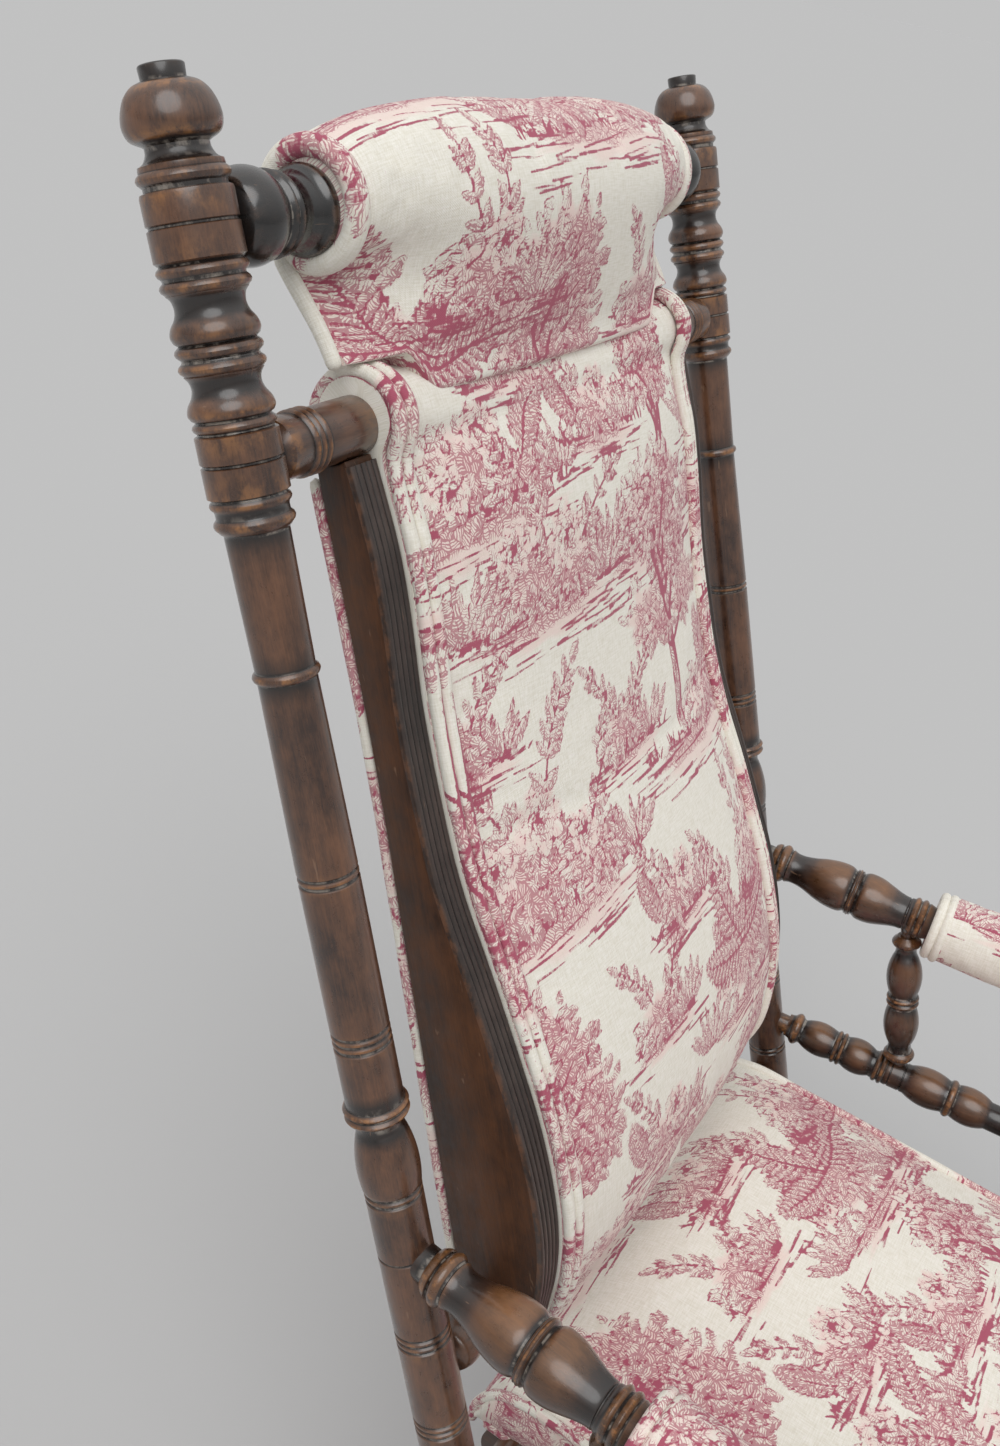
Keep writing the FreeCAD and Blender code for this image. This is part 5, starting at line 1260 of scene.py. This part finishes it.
def side_board(side):
    """A board cut to its outline and given thickness, with eased edges."""
    sign = -1 if side == "right" else 1
    bpy.ops.object.select_all(action="DESELECT")
    bpy.ops.mesh.primitive_plane_add(size=0.01)
    board = bpy.context.active_object
    board.name = "back_side_board_sawn_" + side
    outline = board_outline()
    places = [Vector(on_back(sign * BOARD_INNER, behind, up)) for behind, up in outline]
    bpy.ops.object.mode_set(mode="EDIT")
    bpy.ops.mesh.select_all(action="SELECT")
    bpy.ops.mesh.merge(type="CENTER")
    bpy.ops.transform.translate(value=places[0])
    for first, last in zip(places, places[1:]):
        bpy.ops.mesh.extrude_region_move(TRANSFORM_OT_translate={"value": last - first})
    bpy.ops.mesh.select_all(action="SELECT")
    bpy.ops.mesh.edge_face_add()
    thickness = sign * (BOARD_OUTER - BOARD_INNER) * MM
    bpy.ops.mesh.extrude_region_move(TRANSFORM_OT_translate={"value": (thickness, 0, 0)})
    bpy.ops.mesh.select_all(action="SELECT")
    bpy.ops.mesh.normals_make_consistent(inside=False)
    bpy.ops.object.mode_set(mode="OBJECT")
    finish_with(board, "BEVEL", width=0.0012, segments=2, limit_method="ANGLE", angle_limit=math.radians(50))
    finish_with(board, "TRIANGULATE")
    bpy.ops.object.shade_smooth_by_angle(angle=math.radians(30))
    place_on(board, "stock", off_back(points_of(board)) + [0.4 * sign, 1.1, 0.7])
    number_on(board, "edge", np.zeros(len(board.data.vertices)))
    return keep_on(board, "chair", walnut_board, "stained_wood", "back_side_board_" + side)


REED_COUNT = 5


def reeds(side):
    """Half-round reeds run down the front edge of a board, worn at the outer arris."""
    sign = -1 if side == "right" else 1
    width = (BOARD_OUTER - BOARD_INNER) / REED_COUNT
    ends = [(-719, -15), (-711, -22)]
    line = smooth_line([(up, behind) for up, behind in FRONT_EDGE][:0:-1] + [(-161, -12)])
    start = smooth_line(ends + [tuple(point) for point in line[0][::12]])
    length = start[1][-1]

    def place(u, v):
        middle = along_line(start, v * length)
        way = (along_line(start, np.clip(v * length + 1, 0, length))
               - along_line(start, np.clip(v * length - 1, 0, length)))
        way /= np.linalg.norm(way, axis=1)[:, None]
        share = u * 1.12 - 0.06
        inner = np.clip(share, 0, 1)
        phase = (inner * REED_COUNT) % 1.0
        proud = width * 0.5 * np.sqrt(np.clip(1 - (2 * phase - 1) ** 2, 0, 1)) * 0.92
        drop = np.where((share < 0) | (share > 1), -4.6, -0.4)
        proud = np.where((inner <= 0) | (inner >= 1), 0.0, proud) + drop
        across = sign * (BOARD_OUTER - inner * (BOARD_OUTER - BOARD_INNER))
        # walking up the edge, the outward side faces the sitter
        behind = middle[:, 1] + 2.2 - way[:, 0] * proud
        up = middle[:, 0] + way[:, 1] * proud
        return on_back(across, behind, up)

    piece = formed("back_board_reeds_" + side, REED_COUNT * 14, 150, place)
    edit(piece, lambda: bpy.ops.mesh.normals_make_consistent(inside=False))
    bpy.ops.object.shade_smooth_by_angle(angle=math.radians(70))
    places = points_of(piece)
    offset = (np.abs(places[:, 0]) / MM - BOARD_INNER) / width
    groove = np.abs(offset % 1.0 - 0.5) * 2
    outermost = np.clip((offset - REED_COUNT + 0.3) * 3, 0, 1)
    place_on(piece, "stock", off_back(places) + [0.2 * sign, 0.9, 0.3])
    # painted shade: the grooves where the reeds meet get a low edge value, which darkens them; the outer
    # arris gets a high one and shows wear
    number_on(piece, "edge", 0.1 - 1.1 * groove ** 5 * (1 - outermost) + 0.6 * outermost)
    return keep_on(piece, "chair", walnut_reeds, "stained_wood")


for side in ("right", "left"):
    side_board(side)
    reeds(side)


# Back panel, covered over the upper rail

PANEL_HALF = 175.4


def panel_loop():
    """The panel's section as (behind, up), up its front, over the rail and down its rear."""
    front = [(front_at(up) - 1.0, up) for up in np.linspace(-700, -176, 34)]
    low = [(-2, -733), (-13, -728), (-21.5, -716)]
    over = [(-14.5, -158), (-20.5, -150), (-23.0, -141), (-19.5, -130), (-9.5, -121.8), (2, -119.4),
            (13, -123.2),
            (20.5, -131), (23.4, -142), (21.5, -152), (12.5, -163)]
    rear = [(rear_at(up) - 0.6, up) for up in np.linspace(-190, -690, 12)] + [(17, -712), (10, -726)]
    return smooth_line(low + front + over + rear, closed=True, steps=8)


def back_panel():
    loop = panel_loop()
    total = loop[1][-1]
    points = loop[0]
    turn_over = loop[1][np.argmax(points[:, 1])] + 34
    rows = np.array([0, turn_over, total])
    shares = np.array([0, 0.83, 1.0])

    def at(v):
        return np.interp(v, shares, rows)

    def place(u, v):
        distance = at(v)
        spot_here = along_line(loop, distance)
        across = (2 * u - 1) * PANEL_HALF
        full = 1 - np.abs(2 * u - 1) ** 2.6
        up = spot_here[:, 1]
        swell = np.clip((up + 735) / 40, 0, 1) * np.clip((-up - 140) / 26, 0, 1) * (distance < turn_over - 34)
        behind = spot_here[:, 0] - 15.0 * full * swell
        tuck = np.clip(1 - np.abs(up + 141) / 22, 0, 1) * (distance < turn_over - 34)
        return on_back(across, behind + 3.0 * tuck * full, up)

    panel = formed("back_panel_cushion", 58, 144, place, lambda u, v: ((2 * u - 1) * PANEL_HALF, at(v)),
                   wrap=True)
    across = np.abs(points_of(panel)[:, 0]) / MM
    loose = np.clip((PANEL_HALF - 9 - across) / 14, 0, 1)
    edit(panel, tidy_skin)
    places = off_back(points_of(panel)) / MM
    depth, level = places[:, 1], places[:, 2]
    loose = loose * np.clip((-level - 150) / 20, 0, 1) * np.clip((level + 716) / 24, 0, 1) * (depth < 4)
    plump(panel, loose, 5.0)
    finish_with(panel, "SUBSURF", levels=2, render_levels=2)
    print_on(panel, 250, 40)
    close_ends(panel, bare=True)
    keep_on(panel, "chair", printed_linen, "printed_linen", "back_pad")


back_panel()


def double_piping(side):
    """Two cords side by side that hide the tacks, from behind the upper rail over it and down the front."""
    sign = -1 if side == "right" else 1
    over = [(24, -158), (27.2, -147), (25.0, -134), (16.5, -123.5), (4, -117.4), (-9, -118.6), (-20, -126.2),
            (-25.6, -138), (-24.2, -150), (-18.6, -162)]
    front = [(front_at(up) - 3.6, up) for up in (
        -184, -208, -240, -280, -325, -370, -415, -460, -505, -550, -590, -630, -665, -697)]
    path = over + front + [(-21, -717), (-8, -731)]
    cords = []
    for number, (across, radius, rise) in enumerate(((PANEL_HALF - 3.6, 4.1, 0.0),
                                                     (PANEL_HALF - 11.4, 4.2, 1.6))):
        points = [on_back(sign * across, behind - rise, up) for behind, up in path]
        cords.append(piping("back_piping_%s_%d" % (side, number), points, radius, ACROSS, spacing=2.0))
    piece = joined(cords, "back_double_piping_" + side)
    print_on(piece, 120 if sign < 0 else 300, 210)
    keep_on(piece, "chair", printed_linen, "printed_linen")


for side in ("right", "left"):
    double_piping(side)


# Headrest

HEAD_HALF = 184.0
# the roll's middle, behind the post axes and up from the balls, and its reach to the end ring
HEAD_ROLL = (-3.5, -39.5, 26.4)
HEAD_ENDS = [(-8.5, -134), (-3.5, -116), (0.5, -100), (6, -86), (12, -73), (2, -65.5), (-14, -64), (-27, -54),
             (-31.5, -39), (-27, -23), (-14, -13.2), (-3, -12.2), (10, -16), (19, -26), (21.5, -39),
             (19.5, -54), (15.5, -66), (10, -79), (3.5, -94), (-1.5, -112), (-5.5, -134)]
HEAD_MIDDLE = [(-24, -137), (-26, -126), (-30, -112), (-35.5, -97), (-42, -81), (-47.5, -66), (-51, -52),
               (-51.5, -37), (-48, -21), (-39, -6), (-24, 4), (-6, 7), (12, 3.6), (26, -7), (34, -22),
               (36.5, -40), (34, -58), (29.5, -76), (25, -95), (20.5, -116), (12, -136)]


def headrest():
    ends = smooth_line(HEAD_ENDS, closed=True, steps=10)
    middle = smooth_line(HEAD_MIDDLE, closed=True, steps=10)
    count = len(ends[0])

    def place(u, v):
        index = v * (count - 1)
        whole = np.stack([np.interp(index, np.arange(count), ends[0][:, k]) for k in (0, 1)], -1)
        full_one = np.stack([np.interp(index, np.arange(count), middle[0][:, k]) for k in (0, 1)], -1)
        share = 1 - np.abs(2 * u - 1) ** 3.4
        share = np.clip(share, 0, 1)[:, None] ** 0.8
        section = whole * (1 - share) + full_one * share
        rise = np.clip((np.abs(2 * u - 1) - 0.7) / 0.08, 0, 1)
        below = np.maximum(-100 - section[:, 1], 0)
        section[:, 1] += below * 0.6 * rise
        return on_back((2 * u - 1) * HEAD_HALF, section[:, 0], section[:, 1])

    run = np.interp(np.arange(count), np.arange(count), middle[1])

    def cloth(u, v):
        return (2 * u - 1) * HEAD_HALF, np.interp(v * (count - 1), np.arange(count), run)

    head = formed("headrest_cushion", 64, 72, place, cloth, wrap=True)
    edit(head, tidy_skin)
    places = off_back(points_of(head)) / MM
    across, up = np.abs(places[:, 0]), places[:, 2]
    loose = np.clip((HEAD_HALF - 6 - across) / 16, 0, 1) * np.clip((up + 128) / 16, 0, 1)
    plump(head, loose, 4.0)
    finish_with(head, "SUBSURF", levels=2, render_levels=2)
    print_on(head, 100, 210)
    close_ends(head)
    keep_on(head, "chair", printed_linen, "printed_linen", "headrest_pad")


headrest()


def headrest_trim(side):
    """The wrapped ring round the crest rail's flare, and the piped edge below it."""
    sign = -1 if side == "right" else 1
    path = [on_back(sign * (HEAD_HALF - 2.0), HEAD_ROLL[0] + HEAD_ROLL[2] * math.cos(turn),
                    HEAD_ROLL[1] + HEAD_ROLL[2] * math.sin(turn))
            for turn in np.linspace(0, math.tau, 24, endpoint=False)]
    ring = piping("headrest_ring_%s_0" % side, path, 6.0, ACROSS, spacing=2.0, closed=True)
    ring.name = "headrest_end_ring_" + side
    print_on(ring, 60 if sign < 0 else 210, 120)
    keep_on(ring, "chair", printed_linen, "printed_linen")
    edge = [(19, -58), (15.5, -67), (9.5, -80), (3.2, -94), (-1.2, -107), (-3.4, -116)]
    points = [on_back(sign * (HEAD_HALF + 2.0), behind, up) for behind, up in edge]
    keep_on(piping("headrest_side_piping_" + side, points, 4.2, ACROSS), "chair", plain_linen,
            "printed_linen")


for side in ("right", "left"):
    headrest_trim(side)


# Outside back

COVER_HALF = 193.0


def back_cover():
    line = smooth_line([(rear_at(up) + 3.8, up) for up in np.linspace(-172, -702, 14)])
    length = line[1][-1]

    def place(u, v):
        across = (2 * u - 1) * COVER_HALF
        distance = np.clip(v, 0, 1) * length
        middle = along_line(line, distance)
        full = (1 - np.abs(2 * u - 1) ** 4) * (1 - np.abs(2 * v - 1) ** 8)
        return on_back(across, middle[:, 0] + 3.6 * full, middle[:, 1])

    cover = formed("outside_back_cover", 48, 66, place, lambda u, v: ((2 * u - 1) * COVER_HALF, -v * length))
    edit(cover, lambda: bpy.ops.mesh.normals_make_consistent(inside=False))
    finish_with(cover, "SOLIDIFY", thickness=0.0036, offset=0.0)
    finish_with(cover, "SUBSURF", levels=2, render_levels=2)
    print_on(cover, 20, 470)
    edit(cover, lambda: bpy.ops.mesh.normals_make_consistent(inside=False))
    bpy.ops.object.shade_smooth()
    keep_on(cover, "chair", printed_linen, "printed_linen", "back_cover")
    for side, sign in (("right", -1), ("left", 1)):
        points = [on_back(sign * (COVER_HALF + 1.4), rear_at(up) + 4.8, up)
                  for up in np.linspace(-166, -704, 15)]
        cord = piping("outside_back_piping_" + side, points, 3.6, ACROSS, spacing=2.0)
        print_on(cord, 330, 150)
        keep_on(cord, "chair", printed_linen, "printed_linen")


back_cover()


# Seat

SEAT_LOOP = [(112, 338), (134, 346), (139.5, 366), (137, 390), (126, 406), (106, 412.5), (60, 413.6),
             (0, 414),
             (-80, 414), (-160, 414), (-240, 413.6), (-296, 412), (-326, 404), (-343, 388), (-347.6, 366),
             (-343, 347), (-328, 337.5), (-300, 337), (-200, 337), (0, 337)]


def seat():
    loop = smooth_line(SEAT_LOOP, closed=True, steps=12)
    total = loop[1][-1]
    start_under = loop[1][np.argmin(np.abs(loop[0][:, 0] + 328) + np.abs(loop[0][:, 1] - 337.5))]
    rows = np.array([0, start_under, total])
    shares = np.array([0, 0.86, 1.0])

    def at(v):
        return np.interp(v, shares, rows)

    def place(u, v):
        point = along_line(loop, at(v))
        # the stuffing below the edge lies between the seat's side boards
        across = (2 * u - 1) * np.interp(point[:, 1], (366, 375), (SEAT_HALF - 24, SEAT_HALF))
        full = 1 - np.abs(2 * u - 1) ** 2.8
        lift = np.clip((point[:, 1] - 380) / 34, 0, 1) * np.clip((132 - point[:, 0]) / 60, 0, 1)
        front = np.clip((-300 - point[:, 0]) / 40, 0, 1)
        return in_room(across, point[:, 0] - 4 * front * full, point[:, 1] + 21 * full * lift)

    cushion = formed("seat_cushion", 64, 112, place, lambda u, v: ((2 * u - 1) * SEAT_HALF, -at(v)),
                     wrap=True)
    edit(cushion, tidy_skin)
    places = points_of(cushion) / MM
    loose = (np.clip((SEAT_HALF - 7 - np.abs(places[:, 0])) / 16, 0, 1)
             * np.clip((places[:, 2] - 372) / 30, 0, 1))
    plump(cushion, loose, 5.0)
    finish_with(cushion, "SUBSURF", levels=2, render_levels=2)
    print_on(cushion, 230, 420)
    close_ends(cushion)
    bands = []
    for side, sign in (("right", -1), ("left", 1)):
        edge = smooth_line([(136, 380), (128, 402), (108, 411), (60, 412.4), (0, 413), (-120, 413),
                            (-240, 412.4),
                            (-300, 410), (-330, 398), (-345, 378)])
        length = edge[1][-1]

        def band(u, v, sign=sign, edge=edge, length=length):
            top = along_line(edge, v * length)
            low = np.minimum(374.6, top[:, 1] - 2)
            bulge = 2.6 * np.sin(math.pi * u)
            return in_room(sign * (SEAT_HALF + 0.8 + bulge), top[:, 0], top[:, 1] * (1 - u) + low * u)

        piece = formed("seat_band_" + side, 22, 260, band, lambda u, v: (u * 40, v * length))
        print_on(piece, 90 if sign < 0 else 380, 300)
        bands.append(piece)
    for piece in bands:
        edit(piece, lambda: bpy.ops.mesh.normals_make_consistent(inside=False))
        finish_with(piece, "SOLIDIFY", thickness=0.0024, offset=0.0)
    cushion = joined([cushion] + bands, "seat_cushion")
    bpy.ops.object.shade_smooth_by_angle(angle=math.radians(60))
    keep_on(cushion, "chair", printed_linen, "printed_linen", "seat_pad")
    for side, sign in (("right", -1), ("left", 1)):
        for label, inset, drop, radius in (("upper", 0.4, 0.6, 3.6), ("lower", -1.8, 0.0, 3.2)):
            if label == "upper":
                path = [(139, 366), (137.5, 386), (127, 405), (107, 413.4), (60, 415), (0, 415.4),
                        (-120, 415.4),
                        (-240, 415), (-297, 413), (-328, 402), (-344, 384), (-348, 366)]
            else:
                path = [(130, 374.5), (60, 375), (-60, 375), (-180, 375), (-300, 374.5), (-340, 374)]
            points = [in_room(sign * (SEAT_HALF - inset), y, z - drop) for y, z in path]
            cord = piping("seat_%s_piping_%s" % (label, side), points, radius, ACROSS)
            print_on(cord, 150 if sign < 0 else 60, 250)
            keep_on(cord, "chair", printed_linen, "printed_linen")


seat()


# Arm pads

def arm_pad(side):
    """A printed sleeve round the arm, with a piped band at each end."""
    flip = (lambda place: place) if side == "right" else left_of
    start, way = np.array(flip(ARM_START)), np.array(flip(ARM_WAY))
    beside = np.cross(way, (0, 0, 1.0))
    beside /= np.linalg.norm(beside)
    upward = np.cross(beside, way)
    first, last = ARM_PAD_START, ARM_PAD_END

    def place(u, v):
        along = first + (last - first) * v
        ends = np.minimum(v, 1 - v) * (last - first)
        radius = np.where(ends < 9, 25.6 - 3.2 * np.clip(1 - ends / 3.0, 0, 1) ** 2, 27.2)
        radius = radius + 1.6 * np.clip(np.sin(math.pi * v), 0, 1) ** 0.6 * (ends >= 9)
        turn = u * math.tau
        radius = radius * (1 - 0.03 * np.cos(turn))
        middle = start + np.outer(along * MM, way)
        out = np.outer(np.sin(turn), beside) - np.outer(np.cos(turn), upward)
        return middle + out * (radius * MM)[:, None]

    sleeve = formed("arm_sleeve_" + side, 36, 60, place, lambda u, v: (v * (last - first), u * 176),
                    wrap=True)
    edit(sleeve, tidy_skin)
    places = points_of(sleeve)
    along = (places - start) @ way / MM
    loose = np.clip((np.minimum(along - first, last - along) - 12) / 12, 0, 1) * 0.9
    plump(sleeve, loose, 1.6, pressure=1.5)
    finish_with(sleeve, "SUBSURF", levels=2, render_levels=2)
    print_on(sleeve, 20 if side == "right" else 240, 100)
    close_ends(sleeve)
    keep_on(sleeve, "chair", printed_linen, "printed_linen", "arm_pad_" + side)
    cords = []
    for number, (at, reach, radius) in enumerate(((first + 3.6, 24.8, 4.0), (first + 10.4, 25.6, 3.8),
                                                  (last - 10.4, 25.6, 3.8), (last - 3.6, 24.8, 4.0))):
        ring = [start + way * at * MM + (beside * math.sin(turn) + upward * math.cos(turn)) * reach * MM
                for turn in np.linspace(0, math.tau, 24, endpoint=False)]
        cords.append(piping("arm_piping_%s_%d" % (side, number), ring, radius, way, closed=True))
    cords = joined(cords, "arm_end_piping_" + side)
    print_on(cords, 90, 60)
    keep_on(cords, "chair", printed_linen if side == "right" else plain_linen, "printed_linen")


for side in ("right", "left"):
    arm_pad(side)


# Springs: the wire bends between the base and the chair

def spring_copy(side):
    node = "rocker_springs_" + side
    piece = merged_copy(node, "rocker_coils_" + side)
    bpy.ops.object.shade_smooth()
    piece.data.materials.clear()
    piece.data.materials.append(spring_steel)
    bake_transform(piece)
    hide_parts(node)


for side in ("right", "left"):
    spring_copy(side)


# Solids that keep their own shape

def dress(node, material):
    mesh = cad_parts[node].data
    mesh.materials.clear()
    mesh.materials.append(material)


for side in ("right", "left"):
    for node in ("rocker_" + side, "base_rail_" + side, "seat_side_board_" + side):
        dress(node, walnut_long)
    for node in ("lower_spring_bracket_" + side, "upper_spring_bracket_" + side):
        dress(node, cast_iron)
    for node in ("lower_bracket_screws_" + side, "upper_bracket_screws_" + side):
        dress(node, screw_steel)
dress("seat_webbing", seat_hessian)


# Floor, light and camera

def studio_floor():
    """A pale grey floor, wide enough to reach the horizon."""
    material, tree = blank("studio_paper")
    shader = add(tree, "BsdfPrincipled", {"Base Color": linear("#b7b7b7"), "Roughness": 1.0,
                                          "Specular IOR Level": 0.0})
    add(tree, "OutputMaterial", {"Surface": shader.outputs[0]})
    bpy.ops.object.select_all(action="DESELECT")
    bpy.ops.mesh.primitive_circle_add(vertices=96, radius=60, fill_type="NGON", location=(0, 0, -0.0005))
    floor = bpy.context.active_object
    floor.name = "studio_floor"
    floor.data.materials.append(material)


def soft_sun(name, towards, spread, power):
    """Even light from far away, through a wide pane."""
    bpy.ops.object.light_add(type="SUN")
    lamp = bpy.context.active_object
    lamp.name = name
    lamp.data.angle = math.radians(spread)
    lamp.data.energy = power
    lamp.rotation_euler = Vector(towards).to_track_quat("-Z", "Y").to_euler()


def studio():
    studio_floor()
    soft_sun("window_light", (0.55, 0.25, -0.8), 50, 1.35)
    world = bpy.data.worlds.new("studio_air")
    bpy.context.scene.world = world
    world.use_nodes = True
    tree = world.node_tree
    tree.nodes.clear()
    path = add(tree, "LightPath")
    sky = add(tree, "SeparateXYZ", {0: add(tree, "TexCoord").outputs["Generated"]}).outputs["Z"]
    glow = add(tree, "MapRange", {"Value": sky, "From Min": 0.0, "From Max": 0.9, "To Min": 0.35,
                                  "To Max": 0.95})
    air = add(tree, "Background", {"Color": linear("#ffffff"), "Strength": glow.outputs[0]})
    back = add(tree, "Background", {"Color": linear("#c1c1c1"), "Strength": 1.0})
    both = add(tree, "MixShader", {0: path.outputs["Is Camera Ray"], 1: air.outputs[0], 2: back.outputs[0]})
    add(tree, "OutputWorld", {"Surface": both.outputs[0]})
    bpy.context.scene.view_settings.view_transform = "Standard"


studio()

bpy.ops.object.camera_add()
camera = bpy.context.active_object
camera.name = "photograph_view"
right = Vector((0.5191, -0.8347, 0.1839))
upward = Vector((0.3607, 0.4090, 0.8382))
behind_camera = Vector((-0.7749, -0.3688, 0.5133))
turn = Matrix((right, upward, behind_camera)).transposed().to_4x4()
camera.matrix_world = Matrix.Translation((-0.7183, -0.0201, 1.2232)) @ turn
camera.data.sensor_width = 36.0
camera.data.lens = 33.6
camera.data.clip_start = 0.05
bpy.context.scene.camera = camera

bpy.context.view_layer.update()
